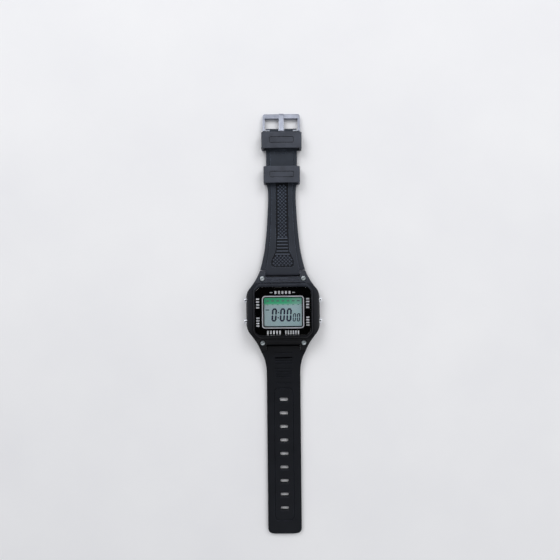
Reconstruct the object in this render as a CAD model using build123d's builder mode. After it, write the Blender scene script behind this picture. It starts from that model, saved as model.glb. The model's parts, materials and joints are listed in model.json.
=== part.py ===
"""Digital wrist watch with a resin strap, laid out flat with the dial up.

Millimetres. +Z points up out of the dial, +Y to twelve o'clock and the buckle, +X to
three o'clock. The origin is the centre of the rear cover's outer face, on which the
watch lies.
"""
import math
import os

from build123d import *

os.makedirs("parts", exist_ok=True)

# Driving dimensions of the case
case_width = 37.9
lug_gap = 18.0
lug_end_y = 20.7
lug_end_half_width = 11.7
rim_top_z = 9.4
case_floor_z = 0.3
deck_z = 8.3

# Bezel rim, crystal and window
bezel_width = 30.4
bezel_length = 27.9
bezel_corner = 3.0
crystal_width = 28.9
crystal_length = 24.7
crystal_corner = 2.2
crystal_thickness = 1.45
crystal_recess = 0.3
mask_thickness = 0.15
ledge_thickness = 0.8
window_width = 19.9
window_length = 15.2
window_radius = 1.2
window_centre_y = -0.6

# Cavity for the module, from the ledge down to the rear cover
cavity_width = 26.4
cavity_length = 23.2
cavity_corner = 4.0

# Strap bars and what turns on them
bar_axis_y = 19.2
bar_axis_z = 2.7
bar_radius = 0.75
bar_end_gap = 0.25
bar_wall = 0.15
bar_crimp_length = 0.4
tip_radius = 0.4
tip_reach = 0.9
tip_plunger_length = 1.5
turning_clearance = 0.1
sliding_clearance = 0.05
lug_end_radius = lug_end_y - bar_axis_y

# Straps
strap_thickness = 2.2
strap_head_radius = 1.6
strap_side_gap = 0.25
lower_strap_end = 116.5
lower_strap_width = 17.5
upper_strap_waist = 14.4
upper_strap_waist_y = 57.5
upper_strap_loop_width = 16.1
upper_strap_loop_y = 67.5

# Adjustment holes
hole_count = 9
first_hole_y = 46.7
hole_pitch = 7.09
hole_width = 4.6
hole_length = 2.4
hole_radius = 0.7

# Keepers
keeper_wall = 1.1
keeper_gap = 0.2
free_keeper_y = 70.0
free_keeper_length = 8.5
free_keeper_width = 18.8
buckle_keeper_y = 87.7
buckle_keeper_length = 8.3
buckle_keeper_width = 20.8

# Buckle
buckle_axis_y = 93.2
buckle_outer_width = 19.3
buckle_arm_width = 1.1
buckle_eye_radius = 1.15
front_bar_y = 101.2
front_bar_length = 2.5
front_bar_height = 2.0
tongue_width = 2.6
tongue_thickness = 1.2
tongue_loop_radius = 1.35

# Pushers
pusher_y = 5.4
pusher_z = 4.3
pusher_head_radius = 1.45
pusher_stem_radius = 0.65
pusher_reach = 1.1

# Screws
cover_screw_inset = 0.9
cover_screw_outset = 0.2
lug_screw_x = 10.6
lug_screw_y = 16.5

# Rear cover and seal
cover_side_margin = 1.2
cover_end_margin = 2.3
cover_corner = 2.2
cover_thickness = 0.9
cover_gap = 0.1
gasket_width = 0.7
gasket_inset = 0.5
gasket_height = 0.6

# Module parts
frame_gap = 0.3
board_side_margin = 2.2
board_end_margin = 1.6
board_thickness = 0.8
board_corner = 2.9
board_bottom_z = 3.5
battery_end_margin = 3.6
battery_side_wall = 1.7
battery_thickness = 1.6
battery_contact_height = 0.2
glass_thickness = 0.55
film_thickness = 0.15

# One overrun for every cut that passes right through
overrun = 1.0

# Sizes and heights worked out from those above
case_half_width = case_width / 2
cavity_half_width = cavity_width / 2
cavity_half_length = cavity_length / 2
cover_width = cavity_width + 2 * cover_side_margin
cover_length = cavity_length + 2 * cover_end_margin
cover_screw_x = cavity_half_width - cover_screw_inset
cover_screw_y = cavity_half_length + cover_screw_outset
board_width = cavity_width - 2 * board_side_margin
board_length = cavity_length - 2 * board_end_margin
battery_diameter = cavity_length - 2 * battery_end_margin
battery_x = battery_diameter / 2 + battery_side_wall + frame_gap - cavity_half_width
crystal_top_z = rim_top_z - crystal_recess
crystal_bottom_z = crystal_top_z - crystal_thickness
ledge_top_z = crystal_bottom_z - mask_thickness
ledge_bottom_z = ledge_top_z - ledge_thickness
head_top_z = bar_axis_z + strap_head_radius
keeper_opening = 2 * strap_thickness + keeper_gap
keeper_height = keeper_opening + 2 * keeper_wall
upper_strap_floor_z = keeper_wall + keeper_gap
strap_shoulder_y = lug_end_y + strap_side_gap
strap_head_width = lug_gap - 2 * strap_side_gap
gap_wall_y = bar_axis_y - strap_head_radius - strap_side_gap
buckle_axis_z = upper_strap_floor_z + buckle_eye_radius + keeper_gap
strap_end_radius = buckle_axis_z - upper_strap_floor_z


# Case body: one resin moulding with bezel rim, flanks, hoods and four lugs

# Plan of one quarter: shares of the way from the lug end's half width out to the case's
# half width, and of the lug end's distance
side_straight_share = 0.29
side_arc_shares = ((0.9268, 0.44), (0.7517, 0.548))
shoulder_shares = (0.6079, 0.606)
lug_side_shares = (0.2577, 0.797)

# Sections: flank seen from the lugs, hood seen from the side
flank_bottom_z = 2.4
flank_top_z = 5.0
flank_bulge = 0.45
belly_inset = 2.55
belly_half_width = case_half_width - belly_inset
deck_inset = 3.25
deck_half_width = case_half_width - deck_inset
deck_end_y = 14.3
hood_step_y = 15.3
hood_step_z = 7.75
hood_groove_depth = 0.25
hood_groove_length = 0.3
hood_groove_width = 17.0
hood_groove_pitch = 0.85
hood_grooves = 3
hood_end_z = 6.4
lug_top_z = 4.9
lug_floor_z = bar_axis_z - lug_end_radius
lug_round = 0.5
hood_slope = (hood_step_z - hood_end_z) / (gap_wall_y - hood_step_y)
belly_end_y = 15.6
belly_rise_y = 17.2
rim_bevel = 0.55
lug_end_round = 0.3

pusher_rows = (pusher_y, -pusher_y)
sides = (1, -1)
counterbore_radius = pusher_head_radius + turning_clearance
counterbore_depth = 2.65
seal_width = 0.7
seal_radius = 1.15
seal_wall = 0.5
lug_recess_radius = 1.55
lug_recess_floor_z = 5.6
screw_thread_radius = 0.5
lug_thread_length = 2.4
cover_thread_length = 2.1
tip_hole_depth = tip_reach + sliding_clearance * 2
stem_hole_radius = pusher_stem_radius + sliding_clearance
tip_hole_radius = tip_radius + sliding_clearance
ledge_opening_width = 23.4
ledge_opening_length = 19.0
ledge_opening_radius = 1.5

with BuildPart() as case_body:
    with BuildSketch(Plane.XY.offset(case_floor_z)) as case_plan:
        with BuildLine() as case_quarter:
            straight_end = (case_half_width, side_straight_share * lug_end_y)
            spread = case_half_width - lug_end_half_width
            plan_shares = (*side_arc_shares, shoulder_shares, lug_side_shares)
            *arc_points, shoulder, lug_side = [
                (lug_end_half_width + spread * u, lug_end_y * v) for u, v in plan_shares]
            lug_end = (lug_end_half_width, lug_end_y)
            Line((0, 0), (case_half_width, 0))
            Line((case_half_width, 0), straight_end)
            ThreePointArc(straight_end, *arc_points)
            Line(arc_points[-1], shoulder)
            ThreePointArc(shoulder, lug_side, lug_end)
            Line(lug_end, (0, lug_end_y))
            Line((0, lug_end_y), (0, 0))
        make_face()
        mirror(about=Plane.YZ)
        mirror(about=Plane.XZ)
    extrude(amount=deck_z - case_floor_z)
    with BuildSketch(Plane.XZ) as flank_section:
        with BuildLine() as flank_half:
            bulge = ((case_half_width + deck_half_width) / 2 + flank_bulge,
                     (flank_top_z + deck_z) / 2 + flank_bulge)
            Polyline((0, deck_z), (0, case_floor_z), (belly_half_width, case_floor_z),
                     (case_half_width, flank_bottom_z), (case_half_width, flank_top_z))
            ThreePointArc((case_half_width, flank_top_z), bulge, (deck_half_width, deck_z))
            Line((deck_half_width, deck_z), (0, deck_z))
        make_face()
        mirror(about=Plane.YZ)
    extrude(amount=lug_end_y + overrun, both=True, mode=Mode.INTERSECT)
    with BuildSketch(Plane.YZ) as hood_section:
        with BuildLine() as hood_half:
            Polyline((0, deck_z), (0, case_floor_z), (belly_end_y, case_floor_z),
                     (belly_rise_y, lug_floor_z), (bar_axis_y, lug_floor_z))
            RadiusArc((bar_axis_y, lug_floor_z), (lug_end_y, bar_axis_z), -lug_end_radius)
            Polyline((lug_end_y, bar_axis_z), (lug_end_y, lug_top_z), (gap_wall_y, hood_end_z),
                     (hood_step_y, hood_step_z), (deck_end_y, deck_z), (0, deck_z))
        make_face()
        mirror(about=Plane.YZ)
    extrude(amount=case_width, both=True, mode=Mode.INTERSECT)
    # Rounded edges along the tops of the lugs
    top_edges = case_body.edges().filter_by(lambda e: e.center().Z > flank_top_z)
    side_edges = top_edges.filter_by(lambda e: abs(e.center().X) > lug_end_half_width)
    fillet(side_edges.filter_by(lambda e: abs(e.center().Y) > bezel_length / 2), lug_round)
    # Raised rim around the crystal
    with BuildSketch(Plane.XY.offset(ledge_bottom_z)) as bezel_plan:
        Rectangle(bezel_width, bezel_length)
        chamfer(bezel_plan.vertices(), bezel_corner)
    extrude(amount=rim_top_z - ledge_bottom_z)
    chamfer(case_body.faces().sort_by(Axis.Z)[-1].edges(), rim_bevel)
    # Pocket for the crystal, then the opening in the ledge below it
    with BuildSketch(Plane.XY.offset(ledge_top_z)) as crystal_pocket:
        Rectangle(crystal_width + 2 * sliding_clearance, crystal_length + 2 * sliding_clearance)
        chamfer(crystal_pocket.vertices(), crystal_corner)
    extrude(amount=rim_top_z, mode=Mode.SUBTRACT)
    with BuildSketch(Plane.XY.offset(ledge_bottom_z)) as ledge_opening:
        with Locations((0, window_centre_y)):
            RectangleRounded(ledge_opening_width, ledge_opening_length, ledge_opening_radius)
    extrude(amount=rim_top_z, mode=Mode.SUBTRACT)
    # Cavity for the module, gasket groove and the seat of the rear cover
    with BuildSketch(Plane.XY) as cavity_plan:
        Rectangle(cavity_width, cavity_length)
        chamfer(cavity_plan.vertices(), cavity_corner)
    extrude(amount=ledge_bottom_z, mode=Mode.SUBTRACT)
    with BuildSketch(Plane.XY.offset(cover_thickness)) as gasket_groove:
        Rectangle(cavity_width, cavity_length)
        chamfer(gasket_groove.vertices(), cavity_corner)
        offset(amount=gasket_inset + gasket_width, kind=Kind.INTERSECTION)
        with BuildSketch(mode=Mode.SUBTRACT) as groove_core:
            Rectangle(cavity_width, cavity_length)
            chamfer(groove_core.vertices(), cavity_corner)
            offset(amount=gasket_inset, kind=Kind.INTERSECTION)
    extrude(amount=gasket_height, mode=Mode.SUBTRACT)
    with BuildSketch(Plane.XY) as cover_seat:
        Rectangle(cover_width + 2 * cover_gap, cover_length + 2 * cover_gap)
        chamfer(cover_seat.vertices(), cover_corner)
    extrude(amount=cover_thickness, mode=Mode.SUBTRACT)
    # Fine grooves across the hoods, between the lug screws
    for end in sides:
        for groove in range(hood_grooves):
            groove_y = end * (hood_step_y + groove * hood_groove_pitch)
            groove_z = hood_step_z - groove * hood_groove_pitch * hood_slope - hood_groove_depth
            with BuildSketch(Plane.XY.offset(groove_z)) as hood_groove:
                with Locations((0, groove_y)):
                    Rectangle(hood_groove_width, hood_groove_length)
            extrude(amount=deck_z, mode=Mode.SUBTRACT)
    # Gaps between the lugs
    with BuildSketch(Plane.XY) as strap_gaps:
        with Locations((0, gap_wall_y + lug_gap / 2), (0, -gap_wall_y - lug_gap / 2)):
            Rectangle(lug_gap, lug_gap)
    extrude(amount=rim_top_z, mode=Mode.SUBTRACT)
    # Threaded holes for the rear cover's screws
    with BuildSketch(Plane.XY) as cover_threads:
        with GridLocations(2 * cover_screw_x, 2 * cover_screw_y, 2, 2):
            Circle(screw_thread_radius)
    extrude(amount=cover_thickness + cover_thread_length + sliding_clearance, mode=Mode.SUBTRACT)
    # Recesses and threaded holes for the four screws on the lugs
    with BuildSketch(Plane.XY.offset(lug_recess_floor_z)) as lug_recesses:
        with GridLocations(2 * lug_screw_x, 2 * lug_screw_y, 2, 2):
            Circle(lug_recess_radius)
    extrude(amount=rim_top_z - lug_recess_floor_z, mode=Mode.SUBTRACT)
    with BuildSketch(Plane.XY.offset(lug_recess_floor_z)) as lug_threads:
        with GridLocations(2 * lug_screw_x, 2 * lug_screw_y, 2, 2):
            Circle(screw_thread_radius)
    extrude(amount=-(lug_thread_length + sliding_clearance), mode=Mode.SUBTRACT)
    # Bores for the pushers, from the flank to the cavity
    for side in sides:
        for row in pusher_rows:
            bore_end = Plane(origin=(side * case_half_width, row, pusher_z),
                             x_dir=(0, 1, 0), z_dir=(-side, 0, 0))
            with BuildSketch(bore_end.offset(-overrun)) as head_bore:
                Circle(counterbore_radius)
            extrude(amount=counterbore_depth + overrun, mode=Mode.SUBTRACT)
            with BuildSketch(bore_end) as stem_bore:
                Circle(stem_hole_radius)
            extrude(amount=case_half_width - cavity_half_width + overrun, mode=Mode.SUBTRACT)
            with BuildSketch(bore_end.offset(counterbore_depth + seal_wall)) as seal_groove:
                Circle(seal_radius)
            extrude(amount=seal_width, mode=Mode.SUBTRACT)
    # Blind holes for the tips of the strap bars
    for side in sides:
        for end in sides:
            lug_face = Plane(origin=(side * lug_gap / 2, end * bar_axis_y, bar_axis_z),
                             x_dir=(0, 1, 0), z_dir=(side, 0, 0))
            with BuildSketch(lug_face) as tip_hole:
                Circle(tip_hole_radius)
            extrude(amount=tip_hole_depth, mode=Mode.SUBTRACT)
    # Rounded lug ends
    fillet(case_body.edges().filter_by(
        lambda e: abs(abs(e.center().Y) - lug_end_y) < sliding_clearance), lug_end_round)
case_body.part.label = "case_body"
export_step(case_body.part, "parts/case_body.step")


# Crystal: clear acrylic plate with cut corners and a bevelled top edge
crystal_bevel = 0.3

with BuildPart() as crystal:
    with BuildSketch(Plane.XY.offset(crystal_bottom_z)) as crystal_plan:
        Rectangle(crystal_width, crystal_length)
        chamfer(crystal_plan.vertices(), crystal_corner)
    extrude(amount=crystal_thickness)
    chamfer(crystal.faces().sort_by(Axis.Z)[-1].edges(), crystal_bevel)
crystal.part.label = "crystal"
export_step(crystal.part, "parts/crystal.step")


# Dial mask: thin black sheet under the crystal with the display window
with BuildPart() as dial_mask:
    with BuildSketch(Plane.XY.offset(ledge_top_z)) as mask_plan:
        Rectangle(crystal_width, crystal_length)
        chamfer(mask_plan.vertices(), crystal_corner)
        with Locations((0, window_centre_y)):
            RectangleRounded(window_width, window_length, window_radius, mode=Mode.SUBTRACT)
    extrude(amount=mask_thickness)
dial_mask.part.label = "dial_mask"
export_step(dial_mask.part, "parts/dial_mask.step")


# Rear cover: steel plate with four countersunk holes and a raised pad in the middle
cover_bevel = 0.25
cover_pad_width = 21.0
cover_pad_length = 19.0
cover_pad_radius = 2.0
cover_groove_width = 0.5
cover_groove_depth = 0.15
cover_head_radius = 1.05
cover_head_height = 0.4
cover_head_sink = 0.1

with BuildPart() as rear_cover:
    with BuildSketch(Plane.XY) as cover_plan:
        Rectangle(cover_width, cover_length)
        chamfer(cover_plan.vertices(), cover_corner)
    extrude(amount=cover_thickness)
    chamfer(rear_cover.faces().sort_by(Axis.Z)[0].edges(), cover_bevel)
    with BuildSketch(Plane.XY) as cover_groove:
        RectangleRounded(cover_pad_width, cover_pad_length, cover_pad_radius)
        RectangleRounded(cover_pad_width - 2 * cover_groove_width,
                         cover_pad_length - 2 * cover_groove_width,
                         cover_pad_radius - cover_groove_width, mode=Mode.SUBTRACT)
    extrude(amount=cover_groove_depth, mode=Mode.SUBTRACT)
    with BuildSketch(Plane.XY) as cover_head_seats:
        with GridLocations(2 * cover_screw_x, 2 * cover_screw_y, 2, 2):
            Circle(cover_head_radius + cover_gap)
    extrude(amount=cover_head_sink + cover_head_height, mode=Mode.SUBTRACT)
    with BuildSketch(Plane.XY) as cover_holes:
        with GridLocations(2 * cover_screw_x, 2 * cover_screw_y, 2, 2):
            Circle(screw_thread_radius + sliding_clearance)
    extrude(amount=cover_thickness, mode=Mode.SUBTRACT)
rear_cover.part.label = "rear_cover"
export_step(rear_cover.part, "parts/rear_cover.step")


# Gasket: rubber ring in the groove behind the rear cover
gasket_side_gap = 0.05

with BuildPart() as case_gasket:
    with BuildSketch(Plane.XY.offset(cover_thickness)) as gasket_plan:
        Rectangle(cavity_width, cavity_length)
        chamfer(gasket_plan.vertices(), cavity_corner)
        offset(amount=gasket_inset + gasket_width - gasket_side_gap, kind=Kind.INTERSECTION)
        with BuildSketch(mode=Mode.SUBTRACT) as gasket_core:
            Rectangle(cavity_width, cavity_length)
            chamfer(gasket_core.vertices(), cavity_corner)
            offset(amount=gasket_inset + gasket_side_gap, kind=Kind.INTERSECTION)
    extrude(amount=gasket_height)
case_gasket.part.label = "case_gasket"
export_step(case_gasket.part, "parts/case_gasket.step")


# Cover screws: four small machine screws with slotted heads, driven from behind
screw_slot_width = 0.35
cover_slot_depth = 0.2

with BuildPart() as cover_screws:
    with BuildSketch(Plane.XY.offset(cover_head_sink)) as cover_heads:
        with GridLocations(2 * cover_screw_x, 2 * cover_screw_y, 2, 2):
            Circle(cover_head_radius)
    extrude(amount=cover_head_height)
    with BuildSketch(Plane.XY.offset(cover_head_sink)) as cover_shanks:
        with GridLocations(2 * cover_screw_x, 2 * cover_screw_y, 2, 2):
            Circle(screw_thread_radius)
    extrude(amount=cover_thickness + cover_thread_length - cover_head_sink)
    with BuildSketch(Plane.XY.offset(cover_head_sink)) as cover_slots:
        with GridLocations(2 * cover_screw_x, 2 * cover_screw_y, 2, 2):
            Rectangle(2 * cover_head_radius, screw_slot_width, rotation=45)
    extrude(amount=cover_slot_depth, mode=Mode.SUBTRACT)
cover_screws.part.label = "cover_screws"
export_step(cover_screws.part, "parts/cover_screws.step")


# Lug screws: four slotted screws in round recesses on the lugs
lug_head_radius = 1.2
lug_head_height = 0.85
lug_head_bevel = 0.25
lug_slot_width = 0.45
lug_slot_depth = 0.35

with BuildPart() as lug_screws:
    with BuildSketch(Plane.XY.offset(lug_recess_floor_z)) as lug_heads:
        with GridLocations(2 * lug_screw_x, 2 * lug_screw_y, 2, 2):
            Circle(lug_head_radius)
    extrude(amount=lug_head_height)
    chamfer(lug_screws.edges().group_by(Axis.Z)[-1], lug_head_bevel)
    with BuildSketch(Plane.XY.offset(lug_recess_floor_z)) as lug_shanks:
        with GridLocations(2 * lug_screw_x, 2 * lug_screw_y, 2, 2):
            Circle(screw_thread_radius)
    extrude(amount=-lug_thread_length)
    with BuildSketch(Plane.XY.offset(lug_recess_floor_z + lug_head_height)) as lug_slots:
        with GridLocations(2 * lug_screw_x, 2 * lug_screw_y, 2, 2):
            Rectangle(2 * lug_head_radius, lug_slot_width, rotation=30)
    extrude(amount=-lug_slot_depth, mode=Mode.SUBTRACT)
lug_screws.part.label = "lug_screws"
export_step(lug_screws.part, "parts/lug_screws.step")


# Module frame: plastic tray that holds battery, board and display

# Heights of the stack, from the battery clamp up to the display
battery_bottom_z = board_bottom_z - battery_contact_height - battery_thickness
battery_top_z = battery_bottom_z + battery_thickness
board_top_z = board_bottom_z + board_thickness
frame_top_z = ledge_bottom_z - frame_gap / 2
polariser_bottom_z = frame_top_z - film_thickness - sliding_clearance
front_glass_z = polariser_bottom_z - glass_thickness
rear_glass_z = front_glass_z - glass_thickness
reflector_z = rear_glass_z - film_thickness

module_width = cavity_width - 2 * frame_gap
module_length = cavity_length - 2 * frame_gap
board_gap = 0.2
battery_gap = 0.15
pusher_notch_half = 1.5
pusher_notch_depth = 2.1
spring_hole_radius = 0.8
buzzer_spring_inset = 4.9
buzzer_spring_x = cavity_half_width - buzzer_spring_inset
buzzer_spring_y = -3.0
module_screw_inset = 1.85
module_screw_y = cavity_half_length - module_screw_inset
module_thread_length = 1.4
quartz_radius = 0.7
quartz_length = 5.0
quartz_inset = 1.4
quartz_x = board_width / 2 - quartz_inset
quartz_z = battery_top_z + quartz_radius + sliding_clearance
quartz_slot_gap = 0.1

with BuildPart() as module_frame:
    with BuildSketch(Plane.XY.offset(battery_bottom_z)) as module_plan:
        Rectangle(module_width, module_length)
        chamfer(module_plan.vertices(), cavity_corner)
    extrude(amount=frame_top_z - battery_bottom_z)
    with BuildSketch(Plane.XY.offset(board_bottom_z)) as board_pocket:
        Rectangle(board_width + 2 * board_gap, board_length + 2 * board_gap)
        chamfer(board_pocket.vertices(), board_corner)
    extrude(amount=frame_top_z, mode=Mode.SUBTRACT)
    with BuildSketch(Plane.XY.offset(battery_bottom_z)) as battery_pocket:
        with Locations((battery_x, 0)):
            Circle(battery_diameter / 2 + battery_gap)
    extrude(amount=board_thickness + battery_thickness, mode=Mode.SUBTRACT)
    with BuildSketch(Plane.XY.offset(battery_bottom_z)) as module_holes:
        with Locations((battery_x, module_screw_y), (battery_x, -module_screw_y)):
            Circle(screw_thread_radius)
    extrude(amount=module_thread_length, mode=Mode.SUBTRACT)
    with BuildSketch(Plane.XY.offset(battery_bottom_z)) as contact_hole:
        with Locations((buzzer_spring_x, buzzer_spring_y)):
            Circle(spring_hole_radius)
    extrude(amount=frame_top_z, mode=Mode.SUBTRACT)
    with BuildSketch(Plane.XY.offset(quartz_z - quartz_radius - quartz_slot_gap)) as can_slot:
        with Locations((quartz_x, 0)):
            Rectangle(2 * (quartz_radius + quartz_slot_gap), quartz_length + 2 * quartz_slot_gap)
    extrude(amount=frame_top_z, mode=Mode.SUBTRACT)
    for side in sides:
        for row in pusher_rows:
            notch_x = side * (module_width / 2 - pusher_notch_depth / 2)
            with BuildSketch(Plane.XY.offset(pusher_z - pusher_notch_half)) as notch_plan:
                with Locations((notch_x, row)):
                    Rectangle(pusher_notch_depth, 2 * pusher_notch_half)
            extrude(amount=2 * pusher_notch_half, mode=Mode.SUBTRACT)
module_frame.part.label = "module_frame"
export_step(module_frame.part, "parts/module_frame.step")


# Circuit board, cut away for the quartz can
with BuildPart() as circuit_board:
    with BuildSketch(Plane.XY.offset(board_bottom_z)) as board_plan:
        Rectangle(board_width, board_length)
        chamfer(board_plan.vertices(), board_corner)
        with Locations((quartz_x, 0)):
            Rectangle(2 * (quartz_radius + quartz_slot_gap),
                      quartz_length + 2 * quartz_slot_gap, mode=Mode.SUBTRACT)
    extrude(amount=board_thickness)
circuit_board.part.label = "circuit_board"
export_step(circuit_board.part, "parts/circuit_board.step")


# Chip cover: low resin dome over the bare chip
chip_radius = 3.6
chip_height = 0.6

with BuildPart() as chip_cover:
    with BuildSketch(Plane.XY.offset(board_top_z)) as chip_plan:
        Circle(chip_radius)
    extrude(amount=chip_height)
    fillet(chip_cover.edges().sort_by(Axis.Z)[-1], chip_height - sliding_clearance)
chip_cover.part.label = "chip_cover"
export_step(chip_cover.part, "parts/chip_cover.step")


# Quartz can: small steel cylinder that lies in a slot of the board
with BuildPart() as quartz_crystal:
    with BuildSketch(Plane.XZ.offset(-quartz_length / 2)) as can_section:
        with Locations((quartz_x, quartz_z)):
            Circle(quartz_radius)
    extrude(amount=quartz_length)
quartz_crystal.part.label = "quartz_crystal"
export_step(quartz_crystal.part, "parts/quartz_crystal.step")


# Display: reflector, rear glass, front glass and polariser, one on the other
glass_side_margin = 0.6
glass_end_margin = 1.2
glass_ledge = 0.9
glass_width = board_width - 2 * glass_side_margin
front_glass_length = board_length - 2 * glass_end_margin
front_glass_corner = 1.5
rear_glass_length = front_glass_length - 2 * glass_ledge
rear_glass_corner = 0.6
display_layers = (
    ("lcd_reflector", reflector_z, film_thickness, rear_glass_length, rear_glass_corner),
    ("lcd_rear_glass", rear_glass_z, glass_thickness, rear_glass_length, rear_glass_corner),
    ("lcd_front_glass", front_glass_z, glass_thickness, front_glass_length, front_glass_corner),
    ("lcd_polariser", polariser_bottom_z, film_thickness, rear_glass_length, rear_glass_corner),
)

for layer_name, layer_z, layer_thickness, layer_length, layer_corner in display_layers:
    with BuildPart() as display_layer:
        with BuildSketch(Plane.XY.offset(layer_z)) as layer_plan:
            with Locations((0, window_centre_y)):
                Rectangle(glass_width, layer_length)
            chamfer(layer_plan.vertices(), layer_corner)
        extrude(amount=layer_thickness)
    display_layer.part.label = layer_name
    export_step(display_layer.part, f"parts/{layer_name}.step")


# Zebra strips: two rubber connectors from the board up to the front glass
zebra_end_margin = 1.6
zebra_width = glass_width - 2 * zebra_end_margin
zebra_depth = 0.8
zebra_y = (front_glass_length + rear_glass_length) / 4

with BuildPart() as zebra_strips:
    with BuildSketch(Plane.XY.offset(board_top_z)) as zebra_plan:
        with Locations((0, window_centre_y + zebra_y), (0, window_centre_y - zebra_y)):
            Rectangle(zebra_width, zebra_depth)
    extrude(amount=front_glass_z - board_top_z)
zebra_strips.part.label = "zebra_strips"
export_step(zebra_strips.part, "parts/zebra_strips.step")


# Lamp: small light-emitting block on the board, beside the chip
lamp_width = 0.8
lamp_length = 1.6
lamp_height = 0.6
lamp_inset = 2.4
lamp_x = lamp_inset - board_width / 2

with BuildPart() as lamp:
    with BuildSketch(Plane.XY.offset(board_top_z)) as lamp_plan:
        with Locations((lamp_x, 0)):
            Rectangle(lamp_width, lamp_length)
    extrude(amount=lamp_height)
    chamfer(lamp.faces().sort_by(Axis.Z)[-1].edges(), lamp_height / 4)
lamp.part.label = "lamp"
export_step(lamp.part, "parts/lamp.step")


# Side contacts: four leaves on the board's edges, which the pushers close
contact_thickness = 0.2
contact_width = 1.8
contact_height = 1.3

with BuildPart() as side_contacts:
    with BuildSketch(Plane.XY.offset(board_bottom_z)) as contact_plan:
        with GridLocations(board_width + contact_thickness, 2 * pusher_y, 2, 2):
            Rectangle(contact_thickness, contact_width)
    extrude(amount=contact_height)
side_contacts.part.label = "side_contacts"
export_step(side_contacts.part, "parts/side_contacts.step")


# Battery: flat cell with a stepped negative cap that faces the board
battery_step = 0.2
battery_cap_share = 0.82

with BuildPart() as battery:
    with BuildSketch(Plane.XY.offset(battery_bottom_z)) as cell_plan:
        with Locations((battery_x, 0)):
            Circle(battery_diameter / 2)
    extrude(amount=battery_thickness - battery_step)
    with BuildSketch(Plane.XY.offset(battery_top_z - battery_step)) as cap_plan:
        with Locations((battery_x, 0)):
            Circle(battery_diameter / 2 * battery_cap_share)
    extrude(amount=battery_step)
battery.part.label = "battery"
export_step(battery.part, "parts/battery.step")


# Battery contact: round leaf between the cell's cap and the board
contact_radius = 2.6

with BuildPart() as battery_contact:
    with BuildSketch(Plane.XY.offset(battery_top_z)) as leaf_plan:
        with Locations((battery_x, 0)):
            Circle(contact_radius)
            Rectangle(2 * contact_radius, contact_radius, mode=Mode.SUBTRACT)
            Rectangle(contact_radius, contact_radius)
    extrude(amount=board_bottom_z - battery_top_z)
battery_contact.part.label = "battery_contact"
export_step(battery_contact.part, "parts/battery_contact.step")


# Battery clamp: spring-steel bridge across the cell, held by two screws
clamp_thickness = 0.25
clamp_width = 4.6
clamp_end_length = 2.4

with BuildPart() as battery_clamp:
    with BuildSketch(Plane.XY.offset(battery_bottom_z)) as clamp_plan:
        with Locations((battery_x, 0)):
            Rectangle(clamp_width, 2 * module_screw_y)
            Circle(clamp_width)
        with Locations((battery_x, module_screw_y), (battery_x, -module_screw_y)):
            Rectangle(clamp_width, clamp_end_length)
            Circle(screw_thread_radius + sliding_clearance, mode=Mode.SUBTRACT)
    extrude(amount=-clamp_thickness)
battery_clamp.part.label = "battery_clamp"
export_step(battery_clamp.part, "parts/battery_clamp.step")


# Module screws: two that hold the clamp to the frame
module_head_radius = 0.9
module_head_height = 0.3

with BuildPart() as module_screws:
    with BuildSketch(Plane.XY.offset(battery_bottom_z - clamp_thickness)) as module_heads:
        with Locations((battery_x, module_screw_y), (battery_x, -module_screw_y)):
            Circle(module_head_radius)
    extrude(amount=-module_head_height)
    with BuildSketch(Plane.XY.offset(battery_bottom_z - clamp_thickness)) as module_shanks:
        with Locations((battery_x, module_screw_y), (battery_x, -module_screw_y)):
            Circle(screw_thread_radius)
    extrude(amount=clamp_thickness + module_thread_length)
module_screws.part.label = "module_screws"
export_step(module_screws.part, "parts/module_screws.step")


# Insulating film between the clamp and the sounder
with BuildPart() as insulating_film:
    with BuildSketch(Plane.XY.offset(battery_bottom_z - clamp_thickness)) as film_plan:
        with Locations((battery_x, 0)):
            Circle(battery_diameter / 2)
    extrude(amount=-film_thickness)
insulating_film.part.label = "insulating_film"
export_step(insulating_film.part, "parts/insulating_film.step")


# Buzzer disc: piezo plate bonded inside the rear cover, off centre
buzzer_margin = 0.2
buzzer_side_wall = 2.0
buzzer_radius = battery_diameter / 2 + buzzer_margin
buzzer_thickness = 0.15
buzzer_x = cavity_half_width - buzzer_side_wall - buzzer_radius

with BuildPart() as buzzer_disc:
    with BuildSketch(Plane.XY.offset(cover_thickness)) as buzzer_plan:
        with Locations((buzzer_x, 0)):
            Circle(buzzer_radius)
    extrude(amount=buzzer_thickness)
buzzer_disc.part.label = "buzzer_disc"
export_step(buzzer_disc.part, "parts/buzzer_disc.step")


# Buzzer spring: thin coil from the sounder through the frame to the board
buzzer_wire_radius = 0.1
buzzer_coil_radius = 0.5
buzzer_coil_turns = 5
buzzer_spring_bottom_z = cover_thickness + buzzer_thickness + buzzer_wire_radius
buzzer_spring_top_z = board_bottom_z - buzzer_wire_radius

with BuildPart() as buzzer_spring:
    with BuildLine():
        buzzer_length = buzzer_spring_top_z - buzzer_spring_bottom_z
        buzzer_path = Helix(buzzer_length / buzzer_coil_turns, buzzer_length, buzzer_coil_radius,
                            center=(buzzer_spring_x, buzzer_spring_y, buzzer_spring_bottom_z))
    with BuildSketch(Plane(origin=buzzer_path @ 0, z_dir=buzzer_path % 0)) as buzzer_wire:
        Circle(buzzer_wire_radius)
    sweep(path=buzzer_path, is_frenet=True)
buzzer_spring.part.label = "buzzer_spring"
export_step(buzzer_spring.part, "parts/buzzer_spring.step")


# Pushers: four steel buttons, each with its stem, return spring and clip
pusher_head_length = 1.95
head_round = 0.45
clip_thickness = 0.3
clip_radius = 1.2
clip_mouth = 0.5
clip_wall_gap = 0.12
clip_groove_radius = 0.42
stem_end_length = 0.45
return_wire_radius = 0.1
return_coil_radius = 1.05
return_turns = 3
return_end_gap = return_wire_radius + sliding_clearance

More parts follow.
